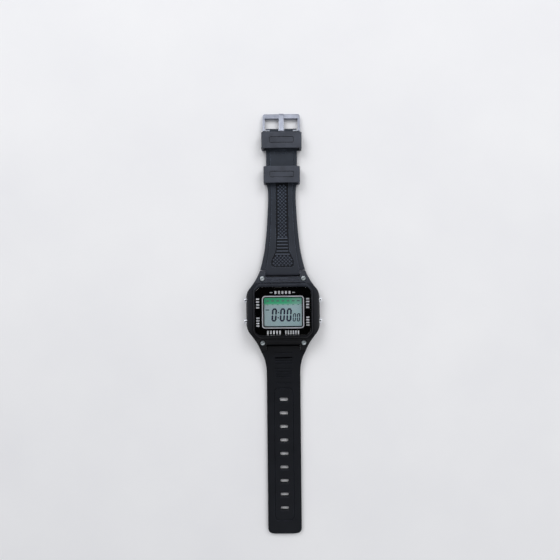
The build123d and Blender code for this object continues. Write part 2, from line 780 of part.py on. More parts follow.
head_inner = pusher_reach - pusher_head_length
counterbore_floor = -counterbore_depth
clip_outer = -(case_half_width - cavity_half_width) - clip_wall_gap
clip_inner = clip_outer - clip_thickness
stem_end = clip_inner - stem_end_length

pusher_places = (("top_right", 1, pusher_y), ("bottom_right", 1, -pusher_y),
                 ("top_left", -1, pusher_y), ("bottom_left", -1, -pusher_y))

for place_name, side, row in pusher_places:
    flank = Plane(origin=(side * case_half_width, row, pusher_z),
                  x_dir=(0, 1, 0), z_dir=(side, 0, 0))
    with BuildPart() as pusher:
        with BuildSketch(flank.offset(head_inner)) as head_plan:
            Circle(pusher_head_radius)
        extrude(amount=pusher_head_length)
        fillet(pusher.faces().sort_by(Axis((0, 0, 0), (side, 0, 0)))[-1].edges(), head_round)
        with BuildSketch(flank.offset(stem_end)) as stem_plan:
            Circle(pusher_stem_radius)
        extrude(amount=head_inner - stem_end)
        with BuildSketch(flank.offset(clip_inner)) as clip_groove:
            Circle(pusher_head_radius)
            Circle(clip_groove_radius, mode=Mode.SUBTRACT)
        extrude(amount=clip_thickness, mode=Mode.SUBTRACT)
    pusher.part.label = f"{place_name}_pusher"
    export_step(pusher.part, f"parts/{place_name}_pusher.step")

    with BuildPart() as pusher_clip:
        with BuildSketch(flank.offset(clip_inner)) as clip_plan:
            Circle(clip_radius)
            Circle(clip_groove_radius, mode=Mode.SUBTRACT)
            with Locations((0, clip_radius / 2)):
                Rectangle(clip_mouth, clip_radius, mode=Mode.SUBTRACT)
        extrude(amount=clip_thickness)
    pusher_clip.part.label = f"{place_name}_pusher_clip"
    export_step(pusher_clip.part, f"parts/{place_name}_pusher_clip.step")

    with BuildPart() as pusher_spring:
        with BuildLine():
            return_start = flank.offset(counterbore_floor + return_end_gap)
            return_length = head_inner - counterbore_floor - 2 * return_end_gap
            return_path = Helix(return_length / return_turns, return_length, return_coil_radius,
                                center=return_start.origin, direction=return_start.z_dir)
        with BuildSketch(Plane(origin=return_path @ 0, z_dir=return_path % 0)) as return_wire:
            Circle(return_wire_radius)
        sweep(path=return_path, is_frenet=True)
    pusher_spring.part.label = f"{place_name}_pusher_spring"
    export_step(pusher_spring.part, f"parts/{place_name}_pusher_spring.step")


# Pusher seals: four rubber rings in the grooves of the case
seal_side_gap = 0.05

with BuildPart() as pusher_seals:
    for side in sides:
        for row in pusher_rows:
            flank = Plane(origin=(side * case_half_width, row, pusher_z),
                          x_dir=(0, 1, 0), z_dir=(side, 0, 0))
            seal_start = -(counterbore_depth + seal_wall + seal_width) + seal_side_gap
            with BuildSketch(flank.offset(seal_start)) as seal_plan:
                Circle(seal_radius)
                Circle(stem_hole_radius, mode=Mode.SUBTRACT)
            extrude(amount=seal_width - 2 * seal_side_gap)
pusher_seals.part.label = "pusher_seals"
export_step(pusher_seals.part, "parts/pusher_seals.step")


# Strap bars: tube, two sprung tips and the coil between them, for three places
tube_bore_radius = bar_radius - bar_wall
plunger_radius = tube_bore_radius - sliding_clearance
bar_coil_wire = 0.12
bar_coil_radius = 0.38
bar_coil_turns = 16
bar_coil_end_gap = bar_coil_wire + sliding_clearance
buckle_inner_width = buckle_outer_width - 2 * buckle_arm_width

bar_places = (("upper", bar_axis_y, bar_axis_z, lug_gap),
              ("lower", -bar_axis_y, bar_axis_z, lug_gap),
              ("buckle", buckle_axis_y, buckle_axis_z, buckle_inner_width))

for place_name, axis_y, axis_z, span in bar_places:
    tube_half = span / 2 - bar_end_gap
    plunger_face = tube_half - bar_crimp_length - sliding_clearance
    spring_face = plunger_face - tip_plunger_length
    across = Plane(origin=(0, axis_y, axis_z), x_dir=(0, 1, 0), z_dir=(1, 0, 0))
    with BuildPart() as bar_tube:
        with BuildSketch(across) as tube_plan:
            Circle(bar_radius)
            Circle(tube_bore_radius, mode=Mode.SUBTRACT)
        extrude(amount=tube_half, both=True)
        for side in sides:
            with BuildSketch(across.offset(side * tube_half)) as crimp_plan:
                Circle(bar_radius)
                Circle(tip_hole_radius, mode=Mode.SUBTRACT)
            extrude(amount=-side * bar_crimp_length)
    bar_tube.part.label = f"{place_name}_bar_tube"
    export_step(bar_tube.part, f"parts/{place_name}_bar_tube.step")

    for side_name, side in (("right", 1), ("left", -1)):
        with BuildPart() as bar_tip:
            with BuildSketch(across.offset(side * spring_face)) as plunger_plan:
                Circle(plunger_radius)
            extrude(amount=side * tip_plunger_length)
            with BuildSketch(across.offset(side * plunger_face)) as tip_plan:
                Circle(tip_radius)
            extrude(amount=side * (span / 2 + tip_reach - plunger_face))
        bar_tip.part.label = f"{place_name}_bar_{side_name}_tip"
        export_step(bar_tip.part, f"parts/{place_name}_bar_{side_name}_tip.step")

    with BuildPart() as bar_spring:
        with BuildLine():
            coil_start = across.offset(-spring_face + bar_coil_end_gap)
            coil_length = 2 * (spring_face - bar_coil_end_gap)
            bar_path = Helix(coil_length / bar_coil_turns, coil_length, bar_coil_radius,
                             center=coil_start.origin, direction=coil_start.z_dir)
        with BuildSketch(Plane(origin=bar_path @ 0, z_dir=bar_path % 0)) as bar_wire:
            Circle(bar_coil_wire)
        sweep(path=bar_path, is_frenet=True)
    bar_spring.part.label = f"{place_name}_bar_spring"
    export_step(bar_spring.part, f"parts/{place_name}_bar_spring.step")


def strap_top_z(place_y, taper_y, flat_z):
    """Height of a strap's top, which falls smoothly from the head to its flat part."""
    share = min((place_y - bar_axis_y) / (taper_y - bar_axis_y), 1)
    return head_top_z + (flat_z - head_top_z) * share * share * (3 - 2 * share)


# Lower strap: the long half with the adjustment holes, towards six o'clock

# Side edge, as shares of the shoulder's half width and of the straight part's start
lower_straight_y = 31.5
lower_edge_shares = ((0.872, 0.762), (0.79, 0.87))
lower_taper_y = 42.0
lower_floor_y = 33.0
tip_corner_radius = 2.6
bore_radius = bar_radius + turning_clearance

# Ribbed panel and the groove that runs round the holes
rib_panel_start_y = 22.8
rib_panel_end_y = 40.0
rib_panel_width = 9.2
rib_panel_depth = 0.35
rib_count = 11
rib_width_share = 0.55
groove_width = 0.7
groove_depth = 0.35
groove_loop_width = 10.4
groove_start_y = 40.9
groove_end_y = 109.8
groove_end_radius = 2.8

lower_half_width = lower_strap_width / 2
shoulder_half_width = lug_end_half_width

with BuildPart() as lower_strap:
    with BuildSketch(Plane.YZ) as lower_section:
        with BuildLine() as lower_side:
            head_top = (-bar_axis_y, head_top_z)
            head_bottom = (-bar_axis_y, bar_axis_z - strap_head_radius)
            Spline(head_top, (-lower_taper_y, strap_thickness), tangents=[(-1, 0), (-1, 0)])
            Polyline((-lower_taper_y, strap_thickness), (-lower_strap_end, strap_thickness),
                     (-lower_strap_end, 0), (-lower_floor_y, 0))
            Spline((-lower_floor_y, 0), head_bottom, tangents=[(1, 0), (1, 0)])
            ThreePointArc(head_bottom, (-bar_axis_y + strap_head_radius, bar_axis_z), head_top)
        make_face()
    extrude(amount=shoulder_half_width, both=True)
    with BuildSketch(Plane.XY) as lower_plan:
        with BuildLine() as lower_edge:
            edge_points = [(shoulder_half_width * u, -lower_straight_y * v)
                           for u, v in lower_edge_shares]
            shoulder_corner = (shoulder_half_width, -strap_shoulder_y)
            straight_start = (lower_half_width, -lower_straight_y)
            Polyline((0, 0), (strap_head_width / 2, 0),
                     (strap_head_width / 2, -strap_shoulder_y), shoulder_corner)
            Spline(shoulder_corner, *edge_points, straight_start,
                   tangents=[(-1, -1), (0, -1)])
            Polyline(straight_start, (lower_half_width, -lower_strap_end),
                     (0, -lower_strap_end), (0, 0))
        make_face()
        mirror(about=Plane.YZ)
    extrude(amount=rim_top_z, mode=Mode.INTERSECT)
    tip_edges = lower_strap.edges().filter_by(Axis.Z).group_by(Axis.Y)[0]
    fillet(tip_edges, tip_corner_radius)
    # Bore for the strap bar
    with BuildSketch(Plane.YZ) as lower_bore:
        with Locations((-bar_axis_y, bar_axis_z)):
            Circle(bore_radius)
    extrude(amount=lug_gap, both=True, mode=Mode.SUBTRACT)
    # Adjustment holes
    with BuildSketch(Plane.XY) as hole_row:
        for hole in range(hole_count):
            with Locations((0, -first_hole_y - hole * hole_pitch)):
                RectangleRounded(hole_width, hole_length, hole_radius)
    extrude(amount=rim_top_z, mode=Mode.SUBTRACT)
    # Groove loop round the holes
    with BuildSketch(Plane.XY.offset(strap_thickness)) as groove_plan:
        with Locations((0, -(groove_start_y + groove_end_y) / 2)):
            RectangleRounded(groove_loop_width, groove_end_y - groove_start_y, groove_end_radius)
            RectangleRounded(groove_loop_width - 2 * groove_width,
                             groove_end_y - groove_start_y - 2 * groove_width,
                             groove_end_radius - groove_width, mode=Mode.SUBTRACT)
    extrude(amount=-groove_depth, mode=Mode.SUBTRACT)
    # Cross grooves of the ribbed panel, cut to one depth below the sloping top
    rib_pitch = (rib_panel_end_y - rib_panel_start_y) / rib_count
    for rib in range(rib_count):
        rib_y = rib_panel_start_y + (rib + 1 / 2) * rib_pitch
        rib_floor_z = strap_top_z(rib_y, lower_taper_y, strap_thickness) - rib_panel_depth
        with BuildSketch(Plane.XY.offset(rib_floor_z)) as rib_plan:
            with Locations((0, -rib_y)):
                Rectangle(rib_panel_width, rib_pitch * rib_width_share)
        extrude(amount=rim_top_z, mode=Mode.SUBTRACT)
lower_strap.part.label = "lower_strap"
export_step(lower_strap.part, "parts/lower_strap.step")


# Upper strap: the short half that carries the keepers and the buckle
upper_flare_y = 34.8
upper_flare_share = 0.755
upper_edge_shares = ((0.918, 0.701), (0.794, 0.899))
upper_taper_y = 42.0
upper_floor_y = 30.0
upper_end_rise_y = 84.0
upper_end_y = buckle_axis_y + strap_end_radius
tongue_slot_width = tongue_width + 2 * keeper_gap
tongue_slot_depth = tongue_loop_radius + keeper_gap

# Recessed centre panel, which flares towards the case, and its cross ribs
panel_width = 6.5
panel_flare_width = 11.8
panel_start_y = 22.8
panel_flare_y = 28.5
panel_end_y = 65.0
panel_rib_pitch = 1.55
panel_rib_share = 0.5
panel_depth = 0.3

upper_top_z = upper_strap_floor_z + strap_thickness
upper_loop_half = upper_strap_loop_width / 2
upper_waist_half = upper_strap_waist / 2

with BuildPart() as upper_strap:
    with BuildSketch(Plane.YZ) as upper_section:
        with BuildLine() as upper_side:
            head_top = (bar_axis_y, head_top_z)
            head_bottom = (bar_axis_y, bar_axis_z - strap_head_radius)
            end_top = (buckle_axis_y, buckle_axis_z + strap_end_radius)
            end_bottom = (buckle_axis_y, upper_strap_floor_z)
            Spline(head_top, (upper_taper_y, upper_top_z), tangents=[(1, 0), (1, 0)])
            Line((upper_taper_y, upper_top_z), (upper_end_rise_y, upper_top_z))
            Spline((upper_end_rise_y, upper_top_z), end_top, tangents=[(1, 0), (1, 0)])
            ThreePointArc(end_top, (upper_end_y, buckle_axis_z), end_bottom)
            Line(end_bottom, (upper_floor_y, upper_strap_floor_z))
            Spline((upper_floor_y, upper_strap_floor_z), head_bottom,
                   tangents=[(-1, 0), (-1, 0)])
            ThreePointArc(head_bottom, (bar_axis_y - strap_head_radius, bar_axis_z), head_top)
        make_face()
    extrude(amount=shoulder_half_width, both=True)
    with BuildSketch(Plane.XY) as upper_plan:
        with BuildLine() as upper_edge:
            edge_points = [(shoulder_half_width * u, upper_flare_y * v)
                           for u, v in upper_edge_shares]
            shoulder_corner = (shoulder_half_width, strap_shoulder_y)
            flare_end = (shoulder_half_width * upper_flare_share, upper_flare_y)
            Polyline((0, 0), (strap_head_width / 2, 0),
                     (strap_head_width / 2, strap_shoulder_y), shoulder_corner)
            Spline(shoulder_corner, *edge_points, flare_end,
                   (upper_waist_half, upper_strap_waist_y), (upper_loop_half, upper_strap_loop_y),
                   tangents=[(-1, 3), (0, 1)])
            Polyline((upper_loop_half, upper_strap_loop_y), (upper_loop_half, upper_end_y),
                     (0, upper_end_y), (0, 0))
        make_face()
        mirror(about=Plane.YZ)
    extrude(amount=rim_top_z, mode=Mode.INTERSECT)
    # Bores for the two bars and the slot for the tongue
    with BuildSketch(Plane.YZ) as upper_bores:
        with Locations((bar_axis_y, bar_axis_z), (buckle_axis_y, buckle_axis_z)):
            Circle(bore_radius)
    extrude(amount=lug_gap, both=True, mode=Mode.SUBTRACT)
    with BuildSketch(Plane.XY) as tongue_slot:
        with Locations((0, buckle_axis_y)):
            Rectangle(tongue_slot_width, 2 * tongue_slot_depth)
    extrude(amount=rim_top_z, mode=Mode.SUBTRACT)
    # Ribs of the centre panel, wider where the panel flares
    panel_ribs = int((panel_end_y - panel_start_y) / panel_rib_pitch)
    for rib in range(panel_ribs):
        rib_y = panel_start_y + (rib + 1 / 2) * panel_rib_pitch
        rib_width = panel_flare_width if rib_y < panel_flare_y else panel_width
        rib_floor_z = strap_top_z(rib_y, upper_taper_y, upper_top_z) - panel_depth
        with BuildSketch(Plane.XY.offset(rib_floor_z)) as panel_rib:
            with Locations((0, rib_y)):
                Rectangle(rib_width, panel_rib_pitch * panel_rib_share)
        extrude(amount=rim_top_z, mode=Mode.SUBTRACT)
upper_strap.part.label = "upper_strap"
export_step(upper_strap.part, "parts/upper_strap.step")


# Keepers: two rubber loops, the first against the buckle and the second free
keeper_bevel = 1.3
keeper_outline_width = 12.6
keeper_outline_length = 3.3
keeper_outline_line = 0.4
keeper_outline_height = 0.15
keeper_inner_bevel = 0.5

keeper_places = (
    ("buckle_keeper", buckle_keeper_y, buckle_keeper_length, buckle_keeper_width),
    ("free_keeper", free_keeper_y, free_keeper_length, free_keeper_width),
)

for keeper_name, middle_y, keeper_length, keeper_width in keeper_places:
    loop_width = keeper_width - 2 * keeper_wall
    with BuildPart() as keeper:
        with BuildSketch(Plane.XZ.offset(-middle_y - keeper_length / 2)) as keeper_section:
            with Locations((0, keeper_height / 2)):
                Rectangle(keeper_width, keeper_height)
            chamfer(keeper_section.vertices().group_by(Axis.Z)[-1], keeper_bevel)
            chamfer(keeper_section.vertices().group_by(Axis.Z)[0], keeper_inner_bevel)
            with BuildSketch(mode=Mode.SUBTRACT) as keeper_loop:
                with Locations((0, keeper_height / 2)):
                    Rectangle(loop_width, keeper_opening)
                chamfer(keeper_loop.vertices().group_by(Axis.Y)[-1], keeper_inner_bevel)
        extrude(amount=keeper_length)
        with BuildSketch(Plane.XY.offset(keeper_height)) as keeper_outline:
            with Locations((0, middle_y)):
                Rectangle(keeper_outline_width, keeper_outline_length)
                Rectangle(keeper_outline_width - 2 * keeper_outline_line,
                          keeper_outline_length - 2 * keeper_outline_line, mode=Mode.SUBTRACT)
        extrude(amount=-keeper_outline_height, mode=Mode.SUBTRACT)
    keeper.part.label = keeper_name
    export_step(keeper.part, f"parts/{keeper_name}.step")


# Buckle frame: polished steel, two eyes on the bar and a rounded front bar
front_bar_z = front_bar_height / 2
front_bar_round = 0.7
buckle_corner_radius = 1.4
notch_width = tongue_width + keeper_gap
notch_depth = 0.4
window_end_y = front_bar_y - front_bar_length / 2
prong_end_y = front_bar_y + front_bar_length / 2

with BuildPart() as buckle_frame:
    with BuildSketch(Plane.YZ) as buckle_section:
        with BuildLine() as buckle_outline:
            CenterArc((buckle_axis_y, buckle_axis_z), buckle_eye_radius, 0, 360)
        make_face()
        with BuildSketch(mode=Mode.PRIVATE) as bar_section:
            with Locations((front_bar_y, front_bar_z)):
                RectangleRounded(front_bar_length, front_bar_height, front_bar_round)
        add(bar_section.sketch)
        make_hull()
    extrude(amount=buckle_outer_width / 2, both=True)
    with BuildSketch(Plane.XY) as buckle_plan:
        with Locations((0, prong_end_y - lug_gap / 2)):
            Rectangle(buckle_outer_width, lug_gap)
        fillet(buckle_plan.vertices().group_by(Axis.Y)[-1], buckle_corner_radius)
    extrude(amount=rim_top_z, mode=Mode.INTERSECT)
    with BuildSketch(Plane.XY) as buckle_window:
        with Locations((0, window_end_y - lug_gap / 2)):
            Rectangle(buckle_inner_width, lug_gap)
    extrude(amount=rim_top_z, mode=Mode.SUBTRACT)
    with BuildSketch(Plane.YZ) as eye_holes:
        with Locations((buckle_axis_y, buckle_axis_z)):
            Circle(tip_hole_radius)
    extrude(amount=buckle_outer_width, both=True, mode=Mode.SUBTRACT)
    with BuildSketch(Plane.XY.offset(front_bar_height - notch_depth)) as tongue_notch:
        with Locations((0, front_bar_y)):
            Rectangle(notch_width, 2 * front_bar_length)
    extrude(amount=rim_top_z, mode=Mode.SUBTRACT)
buckle_frame.part.label = "buckle_frame"
export_step(buckle_frame.part, "parts/buckle_frame.step")


# Buckle tongue: a loop on the bar and a tapered prong that rests in the notch
prong_floor_z = front_bar_height - notch_depth + sliding_clearance
prong_round = 0.3

with BuildPart() as buckle_tongue:
    with BuildSketch(Plane.YZ) as tongue_section:
        with Locations((buckle_axis_y, buckle_axis_z)):
            Circle(tongue_loop_radius)
        with BuildLine() as prong_outline:
            loop_top = (buckle_axis_y, buckle_axis_z + tongue_loop_radius)
            prong_top = (front_bar_y, prong_floor_z + tongue_thickness)
            prong_start = (window_end_y, prong_floor_z)
            loop_bottom = (buckle_axis_y, buckle_axis_z)
            Polyline(loop_bottom, loop_top, prong_top,
                     (prong_end_y, prong_floor_z + tongue_thickness / 2),
                     (prong_end_y, prong_floor_z), prong_start, loop_bottom)
        make_face()
        with Locations((buckle_axis_y, buckle_axis_z)):
            Circle(bore_radius, mode=Mode.SUBTRACT)
    extrude(amount=tongue_width / 2, both=True)
    fillet(buckle_tongue.edges().filter_by(Axis.Z).group_by(Axis.Y)[-1], prong_round)
buckle_tongue.part.label = "buckle_tongue"
export_step(buckle_tongue.part, "parts/buckle_tongue.step")
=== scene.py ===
import json
import math

import bpy
from mathutils import Matrix, Vector


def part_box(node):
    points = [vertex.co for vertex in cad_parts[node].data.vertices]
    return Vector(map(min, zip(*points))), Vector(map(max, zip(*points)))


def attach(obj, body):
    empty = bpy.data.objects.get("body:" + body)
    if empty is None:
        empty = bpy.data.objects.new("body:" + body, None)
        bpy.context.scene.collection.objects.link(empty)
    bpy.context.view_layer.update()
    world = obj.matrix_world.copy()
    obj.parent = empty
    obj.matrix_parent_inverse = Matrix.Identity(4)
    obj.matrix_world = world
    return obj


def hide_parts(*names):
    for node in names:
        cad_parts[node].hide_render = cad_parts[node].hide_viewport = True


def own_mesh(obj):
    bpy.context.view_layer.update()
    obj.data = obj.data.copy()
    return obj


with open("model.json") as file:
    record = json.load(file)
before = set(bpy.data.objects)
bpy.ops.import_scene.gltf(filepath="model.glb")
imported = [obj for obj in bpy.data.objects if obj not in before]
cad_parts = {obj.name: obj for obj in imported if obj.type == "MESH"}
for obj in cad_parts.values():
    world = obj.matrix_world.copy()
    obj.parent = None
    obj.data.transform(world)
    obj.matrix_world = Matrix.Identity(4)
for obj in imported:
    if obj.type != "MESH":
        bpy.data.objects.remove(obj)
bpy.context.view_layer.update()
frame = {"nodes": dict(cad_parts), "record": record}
mm = 0.001
tiny = 0.01  # two places nearer than this, in millimetres, are one
facingUp = 0.7  # a face looks up if the z of its normal is above this


def nothing():  # back to object mode with nothing selected
    if bpy.context.mode != "OBJECT":
        bpy.ops.object.mode_set(mode="OBJECT")
    bpy.ops.object.select_all(action="DESELECT")


def only(piece):
    nothing()
    piece.select_set(True)
    bpy.context.view_layer.objects.active = piece


def named(name):  # names the primitive just added and puts its place in its mesh
    piece = bpy.context.object
    piece.name = piece.data.name = name
    bpy.ops.object.transform_apply(location=True, rotation=True, scale=True)
    return piece


def block(name, low, high):  # a box between two corners, in millimetres
    nothing()
    bpy.ops.mesh.primitive_cube_add(size=1, location=[(a + b) / 2 * mm for a, b in zip(low, high)])
    bpy.context.object.scale = [abs(b - a) * mm for a, b in zip(low, high)]
    return named(name)


def pick(piece, kind, test):  # selects by place, then stays in edit mode
    bpy.ops.object.mode_set(mode="OBJECT")
    mesh = piece.data
    for group in (mesh.vertices, mesh.edges, mesh.polygons):
        group.foreach_set("select", [False] * len(group))
    if kind == "faces":
        for face in mesh.polygons:
            face.select = test(face.center / mm, face.normal)
    elif kind == "edges":
        for edge in mesh.edges:
            a, b = (mesh.vertices[i].co / mm for i in edge.vertices)
            edge.select = test((a + b) / 2, b - a)
    else:
        for corner in mesh.vertices:
            corner.select = test(corner.co / mm)
    bpy.context.tool_settings.mesh_select_mode = [kind == k for k in ("corners", "edges", "faces")]
    bpy.ops.object.mode_set(mode="EDIT")


def sliceAt(piece, axis, place):  # one cut through the whole piece
    normal = [float(axis == letter) for letter in "xyz"]
    only(piece)
    bpy.ops.object.mode_set(mode="EDIT")
    bpy.ops.mesh.select_all(action="SELECT")
    bpy.ops.mesh.bisect(plane_co=[place * mm * n for n in normal], plane_no=normal)
    bpy.ops.object.mode_set(mode="OBJECT")


def pull(x=0, z=0):  # extrudes what is selected
    bpy.ops.mesh.extrude_region_move(TRANSFORM_OT_translate={"value": (x * mm, 0, z * mm)})


def lift(z):
    bpy.ops.transform.translate(value=(0, 0, z * mm))


def widen(factor):  # about the watch's middle line
    bpy.ops.transform.resize(value=(factor, 1, 1), center_override=(0, 0, 0))


def roundEdges(piece, width, segments):  # every edge sharper than 40 degrees
    bpy.ops.object.mode_set(mode="OBJECT")
    only(piece)
    rounding = piece.modifiers.new("rounding", "BEVEL")
    rounding.width = width * mm
    rounding.segments = segments
    rounding.limit_method = "ANGLE"
    rounding.angle_limit = math.radians(40)
    bpy.ops.object.modifier_apply(modifier=rounding.name)


def joined(name, parts):
    nothing()
    for part in parts:
        part.select_set(True)
    bpy.context.view_layer.objects.active = parts[0]
    if len(parts) > 1:
        bpy.ops.object.join()
    parts[0].name = parts[0].data.name = name
    return parts[0]


def cutAway(piece, cutters):
    bpy.ops.object.mode_set(mode="OBJECT")
    tool = joined("cutter", cutters)
    only(piece)
    cut = piece.modifiers.new("cut", "BOOLEAN")
    cut.operation, cut.solver, cut.object = "DIFFERENCE", "EXACT", tool
    bpy.ops.object.modifier_apply(modifier=cut.name)
    bpy.data.objects.remove(tool)


def flatRing(name, centre, size, line, corner, low, high):  # thin frame, from an inset plate
    nothing()
    bpy.ops.mesh.primitive_plane_add(size=1, location=(centre[0] * mm, centre[1] * mm, low * mm))
    bpy.context.object.scale = (size[0] * mm, size[1] * mm, 1)
    ring = named(name)
    bpy.ops.object.mode_set(mode="EDIT")
    bpy.ops.mesh.select_all(action="SELECT")
    bpy.ops.mesh.bevel(offset=corner * mm, segments=8, affect="VERTICES")
    bpy.ops.mesh.select_all(action="SELECT")
    bpy.ops.mesh.inset(thickness=line * mm)
    bpy.ops.mesh.delete(type="FACE")
    bpy.ops.mesh.select_all(action="SELECT")
    pull(z=high - low)
    bpy.ops.mesh.select_all(action="SELECT")
    bpy.ops.mesh.normals_make_consistent(inside=False)
    bpy.ops.object.mode_set(mode="OBJECT")
    return ring


def copyTo(pattern, places, name):  # copies of one small shape, joined as a mesh
    copies = []
    for place in places:
        copy = pattern.copy()
        copy.data = pattern.data.copy()
        copy.location = [a * mm for a in place]
        bpy.context.scene.collection.objects.link(copy)
        copies.append(copy)
    bpy.data.objects.remove(pattern)
    piece = joined(name, copies)
    bpy.ops.object.transform_apply(location=True, rotation=True, scale=True)
    return piece


def finishPiece(piece, body, material, replaced=()):
    bpy.ops.object.mode_set(mode="OBJECT")
    only(piece)
    bpy.ops.object.shade_smooth_by_angle(angle=math.radians(35))  # sharper edges stay sharp
    fair = piece.modifiers.new("fair", "WEIGHTED_NORMAL")  # keeps flat faces flat beside a bevel
    fair.keep_sharp = True
    bpy.ops.object.modifier_apply(modifier=fair.name)
    piece.data.materials.clear()
    piece.data.materials.append(material)
    for face in piece.data.polygons:
        face.material_index = 0
    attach(piece, body)
    if replaced:
        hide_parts(*replaced)
    print("made", piece.name, len(piece.data.polygons))


def secondFinish(piece, material, test):  # another finish on the faces that a test chooses
    piece.data.materials.append(material)
    for face in piece.data.polygons:
        if test(face.center / mm, face.normal):
            face.material_index = len(piece.data.materials) - 1


def along(table, place):  # smooth line through the points of a table, with no overshoot
    if place <= table[0][0]:
        return table[0][1]
    if place >= table[-1][0]:
        return table[-1][1]
    slopes = [(b[1] - a[1]) / (b[0] - a[0]) for a, b in zip(table, table[1:])]
    turns = [slopes[0]] + [2 * a * b / (a + b) if a * b > 0 else 0
                           for a, b in zip(slopes, slopes[1:])] + [slopes[-1]]
    i = max(k for k in range(len(slopes)) if table[k][0] <= place)
    span = table[i + 1][0] - table[i][0]
    t = (place - table[i][0]) / span
    return ((1 + 2 * t) * (1 - t) ** 2 * table[i][1] + t * (1 - t) ** 2 * span * turns[i]
            + t * t * (3 - 2 * t) * table[i + 1][1] + t * t * (t - 1) * span * turns[i + 1])


def tone(red, green, blue):  # a colour read off a screen, as Blender's linear numbers
    return [(c / 255 / 12.92 if c <= 10 else ((c / 255 + 0.055) / 1.055) ** 2.4)
            for c in (red, green, blue)] + [1]


def linked(tree, node, inputs):  # an input gets a value or a link from another node's socket
    for name, given in inputs.items():
        if isinstance(given, bpy.types.NodeSocket):
            tree.links.new(given, node.inputs[name])
        else:
            node.inputs[name].default_value = given
    return node


def added(tree, kind, inputs):  # a new node with its inputs
    return linked(tree, tree.nodes.new("ShaderNode" + kind), inputs)


def mixed(tree, factor, first, second, blend="MIX"):  # two colours into one
    mix = tree.nodes.new("ShaderNodeMix")
    mix.data_type, mix.blend_type = "RGBA", blend
    return linked(tree, mix, {"Factor": factor, "A": first, "B": second}).outputs["Result"]


def combined(tree, operation, first, second):  # two values into one
    node = added(tree, "Math", {0: first, 1: second})
    node.operation = operation
    return node.outputs["Value"]


def shareOf(tree, value, start, end, top=1, smooth=False):  # 0 at start, top at end
    share = added(tree, "MapRange", {"Value": value, "From Min": start, "From Max": end,
                                     "To Max": top})
    if smooth:
        share.interpolation_type = "SMOOTHSTEP"
    return share.outputs["Result"]


def freshMaterial(name, look):
    material = bpy.data.materials.new(name)
    material.use_nodes = True
    tree = material.node_tree
    shader = linked(tree, tree.nodes["Principled BSDF"], {
        "Metallic": look.get("metallic", 0), "IOR": look.get("ior", 1.5),
        "Specular IOR Level": look.get("gloss", 0.5), "Transmission Weight": look.get("clear", 0)})
    return material, tree, shader


def fillRamp(ramp, stops):  # stops are (position, colour), first to last
    stops = list(stops)
    while len(ramp.elements) < len(stops):
        ramp.elements.new(0.5)
    for element, (position, colour) in zip(ramp.elements, stops):
        element.position, element.color = position, colour


# where occlusion, the turn of an edge and noise begin and end to change a colour
shares = {"open": (0.25, 0.9), "turned": (0.99, 0.75), "noise": (0.3, 0.7)}


def paintedLightAlong(tree, place, blotch, stops):  # painted light and shade down one moulding's length, clouded by random blotches
    parts = added(tree, "SeparateXYZ", {"Vector": place.outputs["Object"]})
    first, last = stops[0][0], stops[-1][0]
    share = shareOf(tree, parts.outputs["Y"], first * mm, last * mm)
    length = added(tree, "ValToRGB", {"Fac": share})
    fillRamp(length.color_ramp,
             [((y - first) / (last - first), tone(*colour)) for y, colour in stops])
    cloud = added(tree, "ValToRGB", {"Fac": blotch.outputs["Fac"]})
    fillRamp(cloud.color_ramp, zip(shares["noise"], ((0.84, 0.84, 0.84, 1), (1, 1, 1, 1))))
    return mixed(tree, 1, length.outputs["Color"], cloud.outputs["Color"], "MULTIPLY")


def darkenedCreases(tree, colour, look):  # grooves and corners hold less light
    hollow = added(tree, "AmbientOcclusion", {"Distance": look["creaseReach"] * mm})
    hollow.samples, hollow.only_local = 8, True
    openness = shareOf(tree, hollow.outputs["AO"], *shares["open"])
    return mixed(tree, openness, tone(*look["crease"]), colour)


def wornAndHighlitEdges(tree, colour, look, place, blotch, softEdge):  # paler along edges, partly from wear and partly as a painted highlight
    flat = tree.nodes.new("ShaderNodeNewGeometry")
    turn = added(tree, "VectorMath", {0: softEdge.outputs["Normal"], 1: flat.outputs["Normal"]})
    turn.operation = "DOT_PRODUCT"
    edgePaling = shareOf(tree, turn.outputs["Value"], *shares["turned"], look["rub"])
    if "along" in look:
        stops = [(y, [c * look["wear"] for c in shade]) for y, shade in look["along"]]
        paler = paintedLightAlong(tree, place, blotch, stops)
    else:
        paler = tone(*look["wear"])
    return mixed(tree, combined(tree, "MULTIPLY", edgePaling, blotch.outputs["Fac"]), colour, paler)


grainDepth = 0.02


def mouldedMaterial(name, look):  # blotchy colour, grain and soft edges that are slightly worn and carry a painted highlight
    material, tree, shader = freshMaterial(name, look)
    place = tree.nodes.new("ShaderNodeTexCoord")
    stretch = added(tree, "Mapping", {"Vector": place.outputs["Object"],
                                      "Scale": look.get("stretch", (1, 1, 1))})
    blotch, grain = [added(tree, "TexNoise", {"Vector": stretch.outputs["Vector"],
                                              "Scale": 1 / (size * mm), "Detail": detail})
                     for size, detail in ((look.get("blotch", 6), 4), (look.get("grain", 0.25), 3))]
    if "along" in look:
        colour = paintedLightAlong(tree, place, blotch, look["along"])
    else:
        shades = added(tree, "ValToRGB", {"Fac": blotch.outputs["Fac"]})
        fillRamp(shades.color_ramp, zip(shares["noise"], [tone(*c) for c in look["colours"]]))
        colour = shades.outputs["Color"]
    if "crease" in look:
        colour = darkenedCreases(tree, colour, look)
    bump = added(tree, "Bump", {"Height": grain.outputs["Fac"], "Distance": grainDepth * mm,
                                "Strength": look.get("bump", 0.2)})
    if "edge" in look:
        softEdge = added(tree, "Bevel", {"Radius": look["edge"] * mm})
        softEdge.samples = 4
        linked(tree, bump, {"Normal": softEdge.outputs["Normal"]})
        if "wear" in look:
            colour = wornAndHighlitEdges(tree, colour, look, place, blotch, softEdge)
    smoothest, roughest = look["roughness"]
    rough = added(tree, "MapRange", {"Value": blotch.outputs["Fac"], "To Min": smoothest,
                                     "To Max": roughest})
    linked(tree, shader, {"Base Color": colour, "Roughness": rough.outputs["Result"],
                          "Normal": bump.outputs["Normal"]})
    return material
